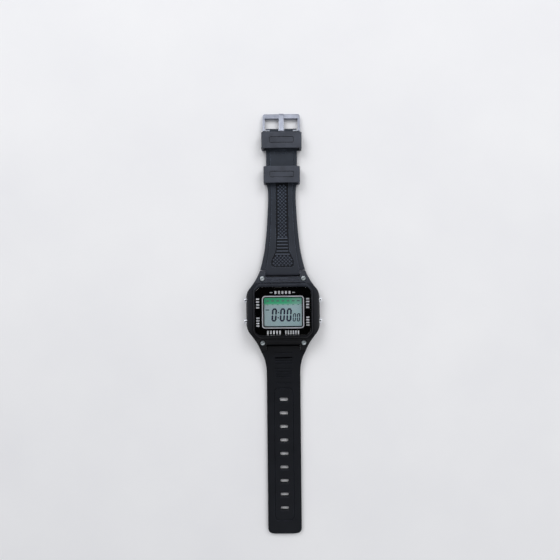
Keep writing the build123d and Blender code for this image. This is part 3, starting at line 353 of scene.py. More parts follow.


# painted light and shade of the resin at places along the watch, from the tip of the lower strap to
# the buckle: paler towards the buckle where the lamps' sheen falls, darkest at the lower hood that
# faces away from them
resinPaintedLight = ((-118, (24, 26, 31)), (-60, (22, 24, 29)), (-26, (18, 20, 25)), (-17, (10, 11, 14)),
              (-12, (14, 15, 19)), (-4, (21, 23, 28)), (8, (27, 29, 34)), (13, (38, 41, 48)),
              (16, (50, 53, 61)), (35, (50, 54, 62)), (62, (51, 56, 65)), (98, (55, 60, 69)))
looks = {
    "caseResin": {"along": resinPaintedLight, "roughness": (0.34, 0.46), "gloss": 0.16, "edge": 0.2,
                  "wear": 2.6, "rub": 1.5, "crease": (1, 2, 4), "creaseReach": 1.1},
    "strapResin": {"along": resinPaintedLight, "roughness": (0.42, 0.56), "gloss": 0.13,
                   "crease": (2, 3, 5), "creaseReach": 1.1, "edge": 0.2, "wear": 2.6, "rub": 2},
    # painted shade: the sunk panel's floor is a darker copy of the resin
    "panelResin": {"along": [(y, [c * 0.55 for c in colour]) for y, colour in resinPaintedLight],
                   "roughness": (0.5, 0.6), "gloss": 0.1},
    # painted light: the studs are a paler copy of the resin, as their tops catch the light
    "studResin": {"along": [(y, [c * 1.5 for c in colour]) for y, colour in resinPaintedLight],
                  "roughness": (0.4, 0.5), "gloss": 0.2},
    "keeperRubber": {"colours": ((60, 63, 71), (73, 77, 87)), "roughness": (0.4, 0.52),
                     "gloss": 0.14, "crease": (3, 4, 7), "creaseReach": 1.1, "edge": 0.2,
                     "wear": (136, 140, 150), "rub": 1.5},
    "screwSteel": {"colours": ((168, 178, 182), (206, 214, 218)), "roughness": (0.3, 0.4),
                   "metallic": 0.3, "edge": 0.05, "crease": (20, 22, 26), "creaseReach": 0.5},
    "crystalClear": {"colours": ((250, 252, 255), (255, 255, 255)), "roughness": (0, 0.01),
                     "clear": 1, "ior": 1.49, "bump": 0, "gloss": 0.35},
    "maskBlack": {"colours": ((3, 3, 7), (5, 5, 9)), "roughness": (0.2, 0.3), "gloss": 0.3},
    "steelBrushed": {"colours": ((170, 175, 186), (205, 210, 220)), "roughness": (0.22, 0.34),
                     "metallic": 1, "stretch": (1, 12, 1), "grain": 0.4, "edge": 0.1},
    "steelPolished": {"colours": ((205, 208, 214), (225, 228, 232)), "roughness": (0.12, 0.2),
                      "metallic": 1, "edge": 0.08},
    "buckleSteel": {"colours": ((142, 147, 160), (167, 172, 186)), "roughness": (0.26, 0.36),
                    "metallic": 1, "edge": 0.08},
    "springSteel": {"colours": ((150, 154, 160), (176, 180, 186)), "roughness": (0.25, 0.35),
                    "metallic": 1},
    "sealRubber": {"colours": ((24, 24, 26), (32, 32, 34)), "roughness": (0.6, 0.75)},
    "framePlastic": {"colours": ((206, 206, 200), (222, 222, 216)), "roughness": (0.4, 0.5)},
    "boardLaminate": {"colours": ((28, 92, 52), (38, 112, 64)), "roughness": (0.35, 0.5),
                      "grain": 0.4},
    "chipResin": {"colours": ((16, 16, 18), (24, 24, 26)), "roughness": (0.25, 0.4)},
    "displayGlass": {"colours": ((150, 168, 160), (162, 180, 172)), "roughness": (0.1, 0.15)},
    "reflectorFoil": {"colours": ((176, 182, 178), (196, 202, 198)), "roughness": (0.35, 0.45),
                      "metallic": 1},
    "zebraRubber": {"colours": ((60, 60, 62), (205, 150, 150)), "roughness": (0.5, 0.6),
                    "stretch": (30, 1, 1)},
    "contactBrass": {"colours": ((196, 160, 84), (214, 180, 104)), "roughness": (0.25, 0.35),
                     "metallic": 1},
    "cellSteel": {"colours": ((188, 190, 194), (208, 210, 214)), "roughness": (0.25, 0.35),
                  "metallic": 1},
    "filmClear": {"colours": ((196, 160, 90), (206, 172, 104)), "roughness": (0.2, 0.3)},
    "lampResin": {"colours": ((226, 226, 190), (238, 238, 204)), "roughness": (0.2, 0.3)},
    "lineSilver": {"colours": ((196, 198, 204), (212, 214, 220)), "roughness": (0.4, 0.5)},
    "printWhite": {"colours": ((214, 216, 220), (232, 233, 236)), "roughness": (0.5, 0.6)},
    "digitInk": {"colours": ((4, 12, 48), (10, 20, 60)), "roughness": (0.5, 0.6)},
    "faintInk": {"colours": ((96, 122, 122), (110, 136, 136)), "roughness": (0.5, 0.6)},
}
finishes = {name: mouldedMaterial(name, look) for name, look in looks.items()}

displayLook = {"pale": ((184, 207, 210), (184, 212, 214)), "halfWidth": 9.6, "gloss": 0.3,
               "green": ((78, 204, 146), (140, 206, 184)), "band": (2.6, 4.0), "rough": 0.35}


def displayMaterial(look):  # pale liquid crystal face with a green band across its top
    material, tree, shader = freshMaterial("displayFace", look)
    place = tree.nodes.new("ShaderNodeTexCoord")
    parts = added(tree, "SeparateXYZ", {"Vector": place.outputs["Object"]})
    x, y, half = parts.outputs["X"], parts.outputs["Y"], look["halfWidth"] * mm
    pale, green = [[tone(*colour) for colour in look[name]] for name in ("pale", "green")]
    face = mixed(tree, shareOf(tree, x, -half, half, smooth=True), *pale)
    glow = mixed(tree, shareOf(tree, x, 0, half, smooth=True), *green)
    band = shareOf(tree, y, *[edge * mm for edge in look["band"]], smooth=True)
    linked(tree, shader, {"Base Color": mixed(tree, band, face, glow), "Roughness": look["rough"]})
    return material


finishes["displayFace"] = displayMaterial(displayLook)

slotFinishes = {
    "case_resin": "caseResin", "strap_resin": "strapResin", "keeper_rubber": "keeperRubber",
    "crystal_clear": "crystalClear", "mask_black": "maskBlack", "steel_brushed": "steelBrushed",
    "steel_polished": "steelPolished", "spring_steel": "springSteel",
    "seal_rubber": "sealRubber", "frame_plastic": "framePlastic",
    "board_laminate": "boardLaminate", "chip_resin": "chipResin",
    "display_glass": "displayGlass", "polariser_film": "displayFace",
    "reflector_foil": "reflectorFoil", "zebra_rubber": "zebraRubber",
    "contact_brass": "contactBrass", "cell_steel": "cellSteel", "film_clear": "filmClear",
    "lamp_resin": "lampResin",
}
for row in frame["record"]["subparts"]:
    node = frame["nodes"][row["node"]]
    node.data.materials.clear()
    node.data.materials.append(finishes[slotFinishes[row["material_slot"]]])
frame["nodes"]["lug_screws"].data.materials[0] = finishes["screwSteel"]
print("finished", len(frame["nodes"]), "nodes")


# straight above the watch; span is the width that the picture takes in at the focus distance
view = {"place": (-1.4, 15.75, 264), "focus": 260, "span": 290, "roll": -0.55, "clip": (0.01, 10)}
bpy.ops.object.camera_add(location=[a * mm for a in view["place"]],
                          rotation=(0, 0, math.radians(view["roll"])))
camera = bpy.context.object
camera.data.angle = 2 * math.atan(view["span"] / 2 / view["focus"])
camera.data.clip_start, camera.data.clip_end = view["clip"]
bpy.context.scene.camera = camera

stageLook = {"size": 4, "drop": 0.05, "floor": ((237, 237, 240), (242, 242, 244)),
             "fade": (0.28, 0.9), "far": (231, 231, 234)}
bpy.ops.mesh.primitive_plane_add(size=stageLook["size"], location=(0, 0, -stageLook["drop"] * mm))
floor = named("floor")
floorLook = {"colours": stageLook["floor"], "roughness": (0.6, 0.7), "blotch": 60, "bump": 0}
floor.data.materials.append(mouldedMaterial("paleFloor", floorLook))


def seenDirectly(tree):  # 1 for what the camera, metal or glass sees, 0 for lit surfaces
    path = tree.nodes.new("ShaderNodeLightPath").outputs
    either = combined(tree, "MAXIMUM", path["Is Camera Ray"], path["Is Glossy Ray"])
    return combined(tree, "MAXIMUM", either, path["Is Transmission Ray"])


def fadeIntoDistance(material, look):  # far from the watch the floor is as pale as the backdrop
    tree = material.node_tree
    place = tree.nodes.new("ShaderNodeTexCoord")
    reach = added(tree, "VectorMath", {0: place.outputs["Object"]})
    reach.operation = "LENGTH"
    share = shareOf(tree, reach.outputs["Value"], *look["fade"], smooth=True)
    pale = added(tree, "Emission", {"Color": tone(*look["far"])})
    mix = added(tree, "MixShader", {
        "Fac": combined(tree, "MULTIPLY", share, seenDirectly(tree)),
        1: tree.nodes["Principled BSDF"].outputs["BSDF"], 2: pale.outputs["Emission"]})
    linked(tree, tree.nodes["Material Output"], {"Surface": mix.outputs["Shader"]})


fadeIntoDistance(floor.data.materials[0], stageLook)


def floorUnder(node):  # a swung strap or buckle stands on the floor, so it pushes the floor down
    low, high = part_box(node)  # each of these bodies has its node's name
    for y in (low[1], high[1]):
        for z in (low[2], high[2]):
            bpy.ops.object.empty_add(location=(0, y, z))
            corner = bpy.context.object
            corner.name = "floorStop"
            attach(corner, node)
            stop = floor.constraints.new("FLOOR")
            stop.target, stop.floor_location = corner, "FLOOR_NEGATIVE_Z"


for swinging in ("lower_strap", "upper_strap", "free_keeper", "buckle_keeper", "buckle_frame",
                 "buckle_tongue"):
    floorUnder(swinging)

lamps = {
    "leftLamp": {"place": (-450, 600, 820), "size": 0.6, "power": 4.2},
    "rightLamp": {"place": (450, 600, 820), "size": 0.6, "power": 4.0},
    "keyLamp": {"place": (-300, 330, 420), "size": 0.7, "power": 0.4},
    "fillLamp": {"place": (380, -120, 380), "size": 0.8, "power": 0.6},
    "lowLamp": {"place": (-60, -420, 300), "size": 0.8, "power": 0.15},
}
for lampName, lamp in lamps.items():
    bpy.ops.object.light_add(type="AREA", location=[a * mm for a in lamp["place"]])
    light = bpy.context.object
    light.name = lampName
    light.data.size, light.data.energy = lamp["size"], lamp["power"]
    light.rotation_euler = light.location.to_track_quat("Z", "Y").to_euler()

# strengths that the backdrop shows from the horizon up, and the fill that lights surfaces
sky = {"seen": ((0, 0.8), (0.55, 0.62), (0.8, 0.45), (0.93, 0.24), (0.985, 0.03)), "blue": 1.03,
       "fill": 0.32, "fillColour": (0.95, 0.97, 1, 1)}
world = bpy.data.worlds.new("studio")
bpy.context.scene.world = world
world.use_nodes = True
tree = world.node_tree
fill = linked(tree, tree.nodes["Background"], {"Color": sky["fillColour"], "Strength": sky["fill"]})
direction = tree.nodes.new("ShaderNodeTexCoord")
height = added(tree, "SeparateXYZ", {"Vector": direction.outputs["Generated"]})
steps = added(tree, "ValToRGB", {"Fac": height.outputs["Z"]})
fillRamp(steps.color_ramp,
         [(at, (level, level, level * sky["blue"], 1)) for at, level in sky["seen"]])
seen = added(tree, "Background", {"Color": steps.outputs["Color"]})
choose = added(tree, "MixShader", {"Fac": seenDirectly(tree), 1: fill.outputs["Background"],
                                   2: seen.outputs["Background"]})
linked(tree, tree.nodes["World Output"], {"Surface": choose.outputs["Shader"]})
bpy.context.scene.view_settings.view_transform = "Standard"
print("camera, floor and lamps are in place")


def strapBlank(name, sizes, way):  # a bar cut at its stations, then set to the strap's outline
    stations = sizes["stations"]
    head, wing = sizes["headHalf"], sizes["shoulderHalf"]
    thick = sizes["thickness"]
    ends = sorted((way * stations[0], way * stations[-1]))
    strap = block(name, (-head, ends[0], 0), (head, ends[1], thick))
    for y in stations[1:-1]:
        sliceAt(strap, "y", way * y)
    for x in (-sizes["panelHalf"], sizes["panelHalf"]):
        sliceAt(strap, "x", x)
    for side in (1, -1):  # the wings reach out past the lugs
        pick(strap, "faces", lambda c, n: n.x * side > 0.9 and way * c.y > sizes["shoulderY"])
        pull(x=side * (wing - head))
    for y in stations:
        half = along(sizes["edge"], y) if y >= sizes["shoulderY"] else wing
        pick(strap, "corners", lambda c: abs(way * c.y - y) < tiny)
        widen(half / wing)
        panel = along(sizes["panel"], y)
        share = sizes["panelHalf"] * half / wing
        pick(strap, "corners", lambda c: abs(way * c.y - y) < tiny and abs(abs(c.x) - share) < tiny)
        widen(panel / share)
        pick(strap, "corners", lambda c: abs(way * c.y - y) < tiny and c.z > thick / 2)
        lift(along(sizes["top"], y) - sizes["railDrop"] - thick)
        pick(strap, "corners", lambda c: abs(way * c.y - y) < tiny and abs(c.z) < tiny)
        lift(along(sizes["bottom"], y))
    bpy.ops.object.mode_set(mode="OBJECT")
    return strap


def arcStations(centre, radius, angles, outward):  # stations round a rolled end
    return [(centre + outward * radius * math.cos(math.radians(a)),
             radius * math.sin(math.radians(a))) for a in angles]


upperSizes = {
    "headHalf": 8.75, "shoulderHalf": 11.7, "shoulderY": 20.95, "thickness": 2.2,
    "panelHalf": 4, "railDrop": 0.6, "barY": 19.2, "barZ": 2.7, "headRadius": 1.6,
    "endY": 93.2, "endZ": 2.65, "endRadius": 1.35, "flatTop": 3.5, "flatBottom": 1.3,
    "edge": [(20.95, 11.7), (22.6, 11.25), (24.4, 10.74), (27.8, 9.97), (31.3, 9.29),
             (34.8, 8.83), (42, 8.1), (50, 7.56), (57.5, 7.2), (62, 7.25), (67.5, 8.05),
             (94.5, 8.05)],
    "panel": [(19, 4.6), (22.4, 4.6), (22.8, 5.4), (23.6, 5.85), (25.5, 5.9), (28.5, 4.6),
              (31, 3.6), (34, 3.35), (94, 3.3)],
    "taperTop": 42, "taperBottom": 30, "rise": [(84, 3.5), (86.3, 3.58), (88.6, 3.75), (91, 3.93)],
    "railShare": 0.748, "railInset": 0.2, "panelFrom": 22.4, "panelTo": 66.5, "panelDepth": 0.45,
    "cutRadius": 0.85, "sideShare": 0.96, "slotWidth": 3.0, "slotReach": 1.6, "edgeRound": 0.35,
    "soften": 0.09, "middleZ": 2, "sunkShare": 0.6,
    "markAt": (-0.4, 82.2), "markSize": (6.4, 2.0), "markDepth": 0.25, "markLine": 0.35,
    "markRound": 0.9,
    "cuts": (20.95, 21.7, 22.4, 22.8, 23.2, 23.6, 24.4, 25.5, 27, 28.5, 29.7, 31, 32.5, 34, 36, 38,
             40, 42, 44.5, 47, 50, 53, 55.5, 57.5, 60, 62, 63.5, 65, 66.5, 67.5, 72, 78, 84, 86.3,
             88.6, 91),
}
lowerSizes = {
    "headHalf": 8.75, "shoulderHalf": 11.7, "shoulderY": 20.95, "thickness": 2.2,
    "panelHalf": 4, "railDrop": 0, "barY": 19.2, "barZ": 2.7, "headRadius": 1.6,
    "endY": 116.5, "tipRadius": 2.6, "flatTop": 2.2, "flatBottom": 0, "straightHalf": 8.75,
    "edge": [(20.95, 11.7), (22.4, 10.95), (24, 10.2), (27.4, 9.24), (31.5, 8.75)],
    "panel": [(17, 4.6), (117, 4.6)],
    "taperTop": 42, "taperBottom": 33, "cutRadius": 0.85, "sideShare": 0.955, "edgeRound": 0.4,
    "soften": 0.07,
    "cuts": (20.95, 21.6, 22.4, 23.2, 24, 25, 26.2, 27.4, 29.4, 31.5, 34, 36.5, 39, 42),
}
smoothSteps = (0.12, 0.25, 0.38, 0.5, 0.62, 0.75, 0.88, 1)


def headHeights(sizes):  # rolled head, then a smooth fall to the flat part
    top, bottom = [], []
    for y, h in arcStations(sizes["barY"], sizes["headRadius"], (14, 32, 50, 70, 90), -1):
        top.append((y, sizes["barZ"] + h))
        bottom.append((y, sizes["barZ"] - h))
    for table, end, flat in ((top, sizes["taperTop"], sizes["flatTop"]),
                             (bottom, sizes["taperBottom"], sizes["flatBottom"])):
        startY, startZ = table[-1]
        for share in smoothSteps:
            table.append((startY + (end - startY) * share,
                          startZ + (flat - startZ) * share * share * (3 - 2 * share)))
    return top, bottom


def crossBore(sizes, y, z):  # a round hole for a bar, longer than the strap is wide
    nothing()
    bpy.ops.mesh.primitive_cylinder_add(vertices=32, radius=sizes["cutRadius"] * mm, depth=30 * mm,
                                        location=(0, y * mm, z * mm), rotation=(0, math.pi / 2, 0))
    return named("bore")


def upperStrap():
    sizes = upperSizes
    top, bottom = headHeights(sizes)
    end = arcStations(sizes["endY"], sizes["endRadius"], (90, 68, 48, 30, 15), 1)
    top += sizes["rise"] + [(y, sizes["endZ"] + h) for y, h in end]
    bottom += [(y, sizes["endZ"] - h) for y, h in end]
    sizes["top"], sizes["bottom"] = top, bottom
    sizes["stations"] = sorted({y for y, z in top[:5]} | {y for y, h in end} | set(sizes["cuts"]))
    strap = strapBlank("upperStrap", sizes, 1)
    railHalf = lambda y: sizes["railShare"] * along(sizes["edge"], y) - sizes["railInset"]
    pick(strap, "faces", lambda c, n: n.z > facingUp and (
        c.z > sizes["middleZ"] and abs(c.x) < railHalf(c.y) or c.y < sizes["shoulderY"]))
    pull(z=sizes["railDrop"])
    pick(strap, "faces", lambda c, n: n.z > facingUp and c.z > sizes["middleZ"]
         and abs(c.x) < 1 and sizes["panelFrom"] < c.y < sizes["panelTo"])
    pull(z=-sizes["panelDepth"])
    pick(strap, "edges", lambda c, d: abs(d.y) > abs(d.x) and abs(d.y) > abs(d.z)
         and c.y > sizes["shoulderY"] and abs(c.x) > sizes["sideShare"] * along(sizes["edge"], c.y))
    bpy.ops.mesh.bevel(offset=sizes["edgeRound"] * mm, segments=3, affect="EDGES")
    cutAway(strap, [crossBore(sizes, sizes["barY"], sizes["barZ"])])
    cutAway(strap, [crossBore(sizes, sizes["endY"], sizes["endZ"])])
    halfSlot, slotFrom = sizes["slotWidth"] / 2, sizes["endY"] - sizes["slotReach"]
    cutAway(strap, [block("slot", (-halfSlot, slotFrom, -1), (halfSlot, sizes["endY"] + 3, 8))])
    cutAway(strap, [flatRing("mark", sizes["markAt"], sizes["markSize"], sizes["markLine"],
                             sizes["markRound"], sizes["flatTop"] - sizes["markDepth"],
                             sizes["flatTop"] + 1)])
    roundEdges(strap, sizes["soften"], 2)
    finishPiece(strap, "upper_strap", finishes["strapResin"], ["upper_strap"])
    # the sunk panel's floor gets the finish of painted shade
    secondFinish(strap, finishes["panelResin"], lambda c, n: n.z > facingUp
                 and abs(c.x) < along(sizes["panel"], c.y)
                 and sizes["panelFrom"] < c.y < sizes["panelTo"]
                 and c.z < along(sizes["top"], c.y) - sizes["sunkShare"] * sizes["panelDepth"])


knurlSizes = {"pitch": 0.92, "step": 1.84, "radius": 0.72, "flat": 0.3, "height": 0.42,
              "sunk": 0.04, "startGap": 1.0, "endGap": 0.8, "sideGap": 0.75, "ribFrom": 28.6,
              "ribTo": 37.6, "ribPitch": 1.65, "ribLength": 0.62, "ribStart": 0.5,
              "ribSideGap": 0.55, "ribRound": 0.1}


def strapKnurl():  # rows of studs in the sunk panel, with plain ribs part of the way
    sizes, rows = upperSizes, knurlSizes
    floorAt = lambda y: along(sizes["top"], y) - sizes["panelDepth"]
    nothing()
    bpy.ops.mesh.primitive_cone_add(vertices=4, radius1=rows["radius"] * mm,
                                    radius2=rows["flat"] * mm, end_fill_type="NGON",
                                    depth=(rows["height"] + rows["sunk"]) * mm)
    stud = named("stud")
    places, row, y = [], 0, sizes["panelFrom"] + rows["startGap"]
    while y < sizes["panelTo"] - rows["endGap"]:
        if not rows["ribFrom"] < y < rows["ribTo"]:
            half = along(sizes["panel"], y) - rows["sideGap"]
            odd = row % 2  # every other row stands half a step aside
            count = int(half / rows["step"] + odd / 2)
            xs = [(k + odd / 2) * rows["step"] for k in range(-count, count + 1 - odd)]
            z = floorAt(y) + (rows["height"] - rows["sunk"]) / 2
            places += [(x, y, z) for x in xs if abs(x) <= half]
        row += 1
        y += rows["pitch"]
    knurl = copyTo(stud, places, "upperStrapKnurl")
    ribs, y = [], rows["ribFrom"] + rows["ribStart"]
    while y < rows["ribTo"]:
        half = along(sizes["panel"], y) - rows["ribSideGap"]
        ribs.append(block("rib", (-half, y - rows["ribLength"] / 2, floorAt(y) - rows["sunk"]),
                          (half, y + rows["ribLength"] / 2, floorAt(y) + rows["height"])))
        y += rows["ribPitch"]
    ribMesh = joined("ribs", ribs)
    roundEdges(ribMesh, rows["ribRound"], 2)
    knurl = joined("upperStrapKnurl", [knurl, ribMesh])
    finishPiece(knurl, "upper_strap", finishes["studResin"])


holes = {"first": 46.7, "pitch": 7.09, "count": 9, "size": (4.2, 2.0), "round": 0.6,
         "mouth": 0.35, "over": 0.02, "low": -2, "high": 6}
grooveLoop = {"half": 5.2, "from": 40.3, "to": 109.8, "width": 0.6, "depth": 0.35, "round": 2.6}
grooves = {"places": ((21.9, 4.9, 0.85), (24.5, 4.6, 0.55), (26.0, 4.5, 0.55), (27.5, 4.5, 0.55),
                      (30.2, 4.3, 0.55), (31.9, 4.3, 0.5), (33.3, 4.2, 0.5), (34.6, 4.2, 0.5),
                      (38.0, 4.3, 0.55)), "depth": 0.36}  # place, half length and width of each


def slotCutter():  # nine upright slots whose mouths widen at the strap's top
    halfX, halfY = (side / 2 for side in holes["size"])
    places = [-holes["first"] - k * holes["pitch"] for k in range(holes["count"])]
    slots = joined("slots", [block("slot", (-halfX, y - halfY, holes["low"]),
                                   (halfX, y + halfY, holes["high"])) for y in places])
    pick(slots, "edges", lambda c, d: abs(d.z) > abs(d.x) + abs(d.y))
    bpy.ops.mesh.bevel(offset=holes["round"] * mm, segments=4, affect="EDGES")
    pick(slots, "corners", lambda c: c.z > holes["high"] - tiny)
    lift(lowerSizes["flatTop"] - holes["mouth"] - holes["high"])
    grow = [1 + 2 * holes["mouth"] / side for side in holes["size"]] + [1]
    for y in places:
        pick(slots, "faces", lambda c, n: n.z > 0.9 and abs(c.y - y) < 1)
        pull(z=holes["mouth"] + holes["over"])
        bpy.ops.transform.resize(value=grow, center_override=(0, y * mm, 0))
        pull(z=1)  # straight up, clear of the strap
    bpy.ops.object.mode_set(mode="OBJECT")
    return slots


def lowerStrap():
    sizes = lowerSizes
    top, bottom = headHeights(sizes)
    top.append((sizes["endY"], sizes["flatTop"]))
    bottom.append((sizes["endY"], sizes["flatBottom"]))
    sizes["top"], sizes["bottom"] = top, bottom
    tip = arcStations(sizes["endY"] - sizes["tipRadius"], sizes["tipRadius"],
                      (90, 75, 60, 45, 30, 15, 0), 1)
    sizes["edge"] += [(y, sizes["straightHalf"] - sizes["tipRadius"] + h) for y, h in tip]
    sizes["stations"] = sorted({y for y, z in top[:5]} | {y for y, h in tip} | set(sizes["cuts"]))
    strap = strapBlank("lowerStrap", sizes, -1)
    pick(strap, "edges", lambda c, d: -c.y > sizes["shoulderY"]
         and abs(d.z) < max(abs(d.x), abs(d.y))
         and abs(c.x) > sizes["sideShare"] * along(sizes["edge"], -c.y)
         or -c.y > sizes["endY"] - tiny and abs(d.z) < abs(d.x))
    bpy.ops.mesh.bevel(offset=sizes["edgeRound"] * mm, segments=3, affect="EDGES")
    slots = slotCutter()
    cutAway(strap, [crossBore(sizes, -sizes["barY"], sizes["barZ"])])
    cutAway(strap, [slots])
    loop = grooveLoop
    middle = -(loop["from"] + loop["to"]) / 2
    cutAway(strap, [flatRing("loop", (0, middle), (2 * loop["half"], loop["to"] - loop["from"]),
                             loop["width"], loop["round"], sizes["flatTop"] - loop["depth"], 4)])
    for y, half, wide in grooves["places"]:
        z = along(sizes["top"], y) - grooves["depth"]
        cutAway(strap, [block("groove", (-half, -y - wide / 2, z), (half, -y + wide / 2, z + 3))])
    roundEdges(strap, sizes["soften"], 2)
    finishPiece(strap, "lower_strap", finishes["strapResin"], ["lower_strap"])


upperStrap()
strapKnurl()
lowerStrap()


keeperSizes = {"height": 6.8, "wall": 1.1, "shoulder": 1.3, "cornerRound": 0.5, "soften": 0.2,
               "outline": (12.6, 3.3), "line": 0.42, "lineRound": 0.8, "depth": 0.3}
keepers = {"freeKeeper": {"node": "free_keeper", "y": 70.0, "length": 8.5, "width": 18.8},
           "buckleKeeper": {"node": "buckle_keeper", "y": 87.7, "length": 8.3, "width": 20.8}}


def keeper(name, sizes):  # a loop of rubber with a thin outline sunk in its top
    half, length, middle = sizes["width"] / 2, sizes["length"], sizes["y"]
    loop = block(name, (-half, middle - length / 2, 0),
                 (half, middle + length / 2, sizes["height"]))
    pick(loop, "edges", lambda c, d: abs(d.y) > 1 and c.z > 1)
    bpy.ops.mesh.bevel(offset=sizes["shoulder"] * mm, segments=2, affect="EDGES")
    pick(loop, "edges", lambda c, d: abs(d.y) > 1 and c.z < 0.1)
    bpy.ops.mesh.bevel(offset=sizes["cornerRound"] * mm, segments=2, affect="EDGES")
    bpy.ops.object.mode_set(mode="OBJECT")
    wall = sizes["wall"]
    hollow = block("hollow", (-half + wall, middle - length, wall),
                   (half - wall, middle + length, sizes["height"] - wall))
    pick(hollow, "edges", lambda c, d: abs(d.y) > 1)
    bpy.ops.mesh.bevel(offset=sizes["cornerRound"] * mm, segments=2, affect="EDGES")
    bpy.ops.object.mode_set(mode="OBJECT")
    cutAway(loop, [hollow])
    roundEdges(loop, sizes["soften"], 3)
    groove = flatRing("groove", (0, middle), sizes["outline"], sizes["line"], sizes["lineRound"],
                      sizes["height"] - sizes["depth"], sizes["height"] + 1)
    cutAway(loop, [groove])
    finishPiece(loop, sizes["node"], finishes["keeperRubber"], [sizes["node"]])


for keeperName, place in keepers.items():
    keeper(keeperName, {**keeperSizes, **place})


def mergedCopy(node, name):  # a CAD mesh is loose triangles, so its copy is merged first
    nothing()
    piece = bpy.data.objects.new(name, frame["nodes"][node].data.copy())
    piece.data.name = name
    bpy.context.scene.collection.objects.link(piece)
    only(piece)
    bpy.ops.object.mode_set(mode="EDIT")
    bpy.ops.mesh.select_all(action="SELECT")
    bpy.ops.mesh.remove_doubles(threshold=0.002 * mm)
    bpy.ops.mesh.dissolve_limited(angle_limit=math.radians(0.5))
    bpy.ops.object.mode_set(mode="OBJECT")
    return piece


def turnCorners(piece, corners, reach, offset):  # rounds upright corner edges at given places
    pick(piece, "edges", lambda c, d: abs(d.z) > 0.2 and c.z > bezelLook["above"]
         and any(math.hypot(abs(c.x) - x, abs(c.y) - y) < reach for x, y in corners))
    bpy.ops.mesh.bevel(offset=offset * mm, segments=5, affect="EDGES")
    bpy.ops.object.mode_set(mode="OBJECT")


bezelLook = {"rim": ((15.2, 10.95), (12.2, 13.95)), "pocket": ((14.5, 10.2), (12.3, 12.4)),
             "lens": ((14.45, 10.15), (12.25, 12.35)), "reach": 0.55, "turn": 1.3, "lensTurn": 1.25,
             "valley": (14.0, 14.55), "valleyFloor": 7.9, "valleyHalf": 11.5, "soften": 0.1,
             "lensSoften": 0.12, "above": 7.4, "clear": 9}


def caseShell():
    look = bezelLook
    shell = mergedCopy("case_body", "caseShell")
    turnCorners(shell, look["rim"] + look["pocket"], look["reach"], look["turn"])
    for way in (1, -1):
        near, far = (way * y for y in look["valley"])
        cutAway(shell, [block("valley", (-look["valleyHalf"], min(near, far), look["valleyFloor"]),
                              (look["valleyHalf"], max(near, far), look["clear"]))])
    roundEdges(shell, look["soften"], 2)
    finishPiece(shell, "case", finishes["caseResin"], ["case_body"])


def lens():
    look = bezelLook
    glass = mergedCopy("crystal", "lens")
    turnCorners(glass, look["lens"], look["reach"], look["lensTurn"])
    roundEdges(glass, look["lensSoften"], 3)
    finishPiece(glass, "case", finishes["crystalClear"], ["crystal"])


buckleRounds = {"buckleFrame": ("buckle_frame", 0.35), "buckleTongue": ("buckle_tongue", 0.3)}


def buckle():
    for name, (node, width) in buckleRounds.items():
        metal = mergedCopy(node, name)
        roundEdges(metal, width, 4)
        finishPiece(metal, node, finishes["buckleSteel"], [node])


def springCoil(node, name, body, half=0):  # a spring's merged copy, on its body
    coil = mergedCopy(node, name)
    if half:  # a bar's spring has a tip at each end, so each half is made as a piece of its own
        bpy.ops.object.mode_set(mode="EDIT")
        bpy.ops.mesh.select_all(action="SELECT")
        bpy.ops.mesh.bisect(plane_co=(0, 0, 0), plane_no=(half, 0, 0), use_fill=True,
                            clear_inner=True)
    finishPiece(coil, body, finishes["springSteel"], [node])
    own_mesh(coil)


def springs():
    for side, way in (("Right", 1), ("Left", -1)):
        for row in ("top", "bottom"):
            place = f"{row}_{side.lower()}"
            springCoil(f"{place}_pusher_spring", f"{row}{side}Spring", "case")
        for bar, body in (("upper", "case"), ("lower", "case"), ("buckle", "upper_strap")):
            springCoil(f"{bar}_bar_spring", f"{bar}BarSpring{side}", body,
                       way)


caseShell()
lens()
buckle()
springs()

# bottom and top of what is printed or inked under the crystal and on the display, and of a black
# ring of painted shadow inside the window
layers = {"print": (7.65, 7.68), "shade": (6.52, 6.6), "ink": (6.52, 6.55), "faint": (6.52, 6.54)}
windowLook = {"centre": (0, -0.62), "lineSize": (21.5, 16.7), "line": 0.6, "corner": 1.7,
              "shadeSize": (21.0, 16.2), "shade": 0.85, "shadeCorner": 1.3}
silverLine = flatRing("windowLine", windowLook["centre"], windowLook["lineSize"],
                      windowLook["line"], windowLook["corner"], *layers["print"])
finishPiece(silverLine, "case", finishes["lineSilver"])
# painted shadow: a black ring on the display where the window's wall casts shade
shade = flatRing("windowShade", windowLook["centre"], windowLook["shadeSize"],
                 windowLook["shade"], windowLook["shadeCorner"], *layers["shade"])
finishPiece(shade, "case", finishes["maskBlack"])


def patch(name, low, high, layer):  # flat ink between two corners
    bottom, top = layers[layer]
    return block(name, (*low, bottom), (*high, top))


# a stroke's point, and the gaps at its ends, are shares of its width
figures = {"large": {"places": (-4.52, -0.29, 3.09), "y": -2.13, "size": (2.6, 6.8), "line": 0.86},
           "small": {"places": (5.81, 7.9), "y": -3.44, "size": (1.6, 4.2), "line": 0.5},
           "dots": {"x": -2.4, "places": (-0.93, -3.59), "size": 0.62, "lean": 0.07},
           "slant": math.radians(4), "point": 0.42, "endGap": 0.9, "sideGap": 0.25}


def turnAbout(x, y, angle):
    spot = Vector((x * mm, y * mm, 0))
    return Matrix.Translation(spot) @ Matrix.Rotation(angle, 4, "Z") @ Matrix.Translation(-spot)


def stroke(x, y, length, wide, turn=0):  # one segment with pointed ends
    halfL, halfW = length / 2, wide / 2
    bar = patch("stroke", (x - halfL, y - halfW), (x + halfL, y + halfW), "ink")
    pick(bar, "edges", lambda c, d: abs(d.z) > abs(d.x) + abs(d.y))
    bpy.ops.mesh.bevel(offset=wide * figures["point"] * mm, segments=1, affect="EDGES")
    bpy.ops.object.mode_set(mode="OBJECT")
    if turn:
        bar.data.transform(turnAbout(x, y, turn))
    return bar


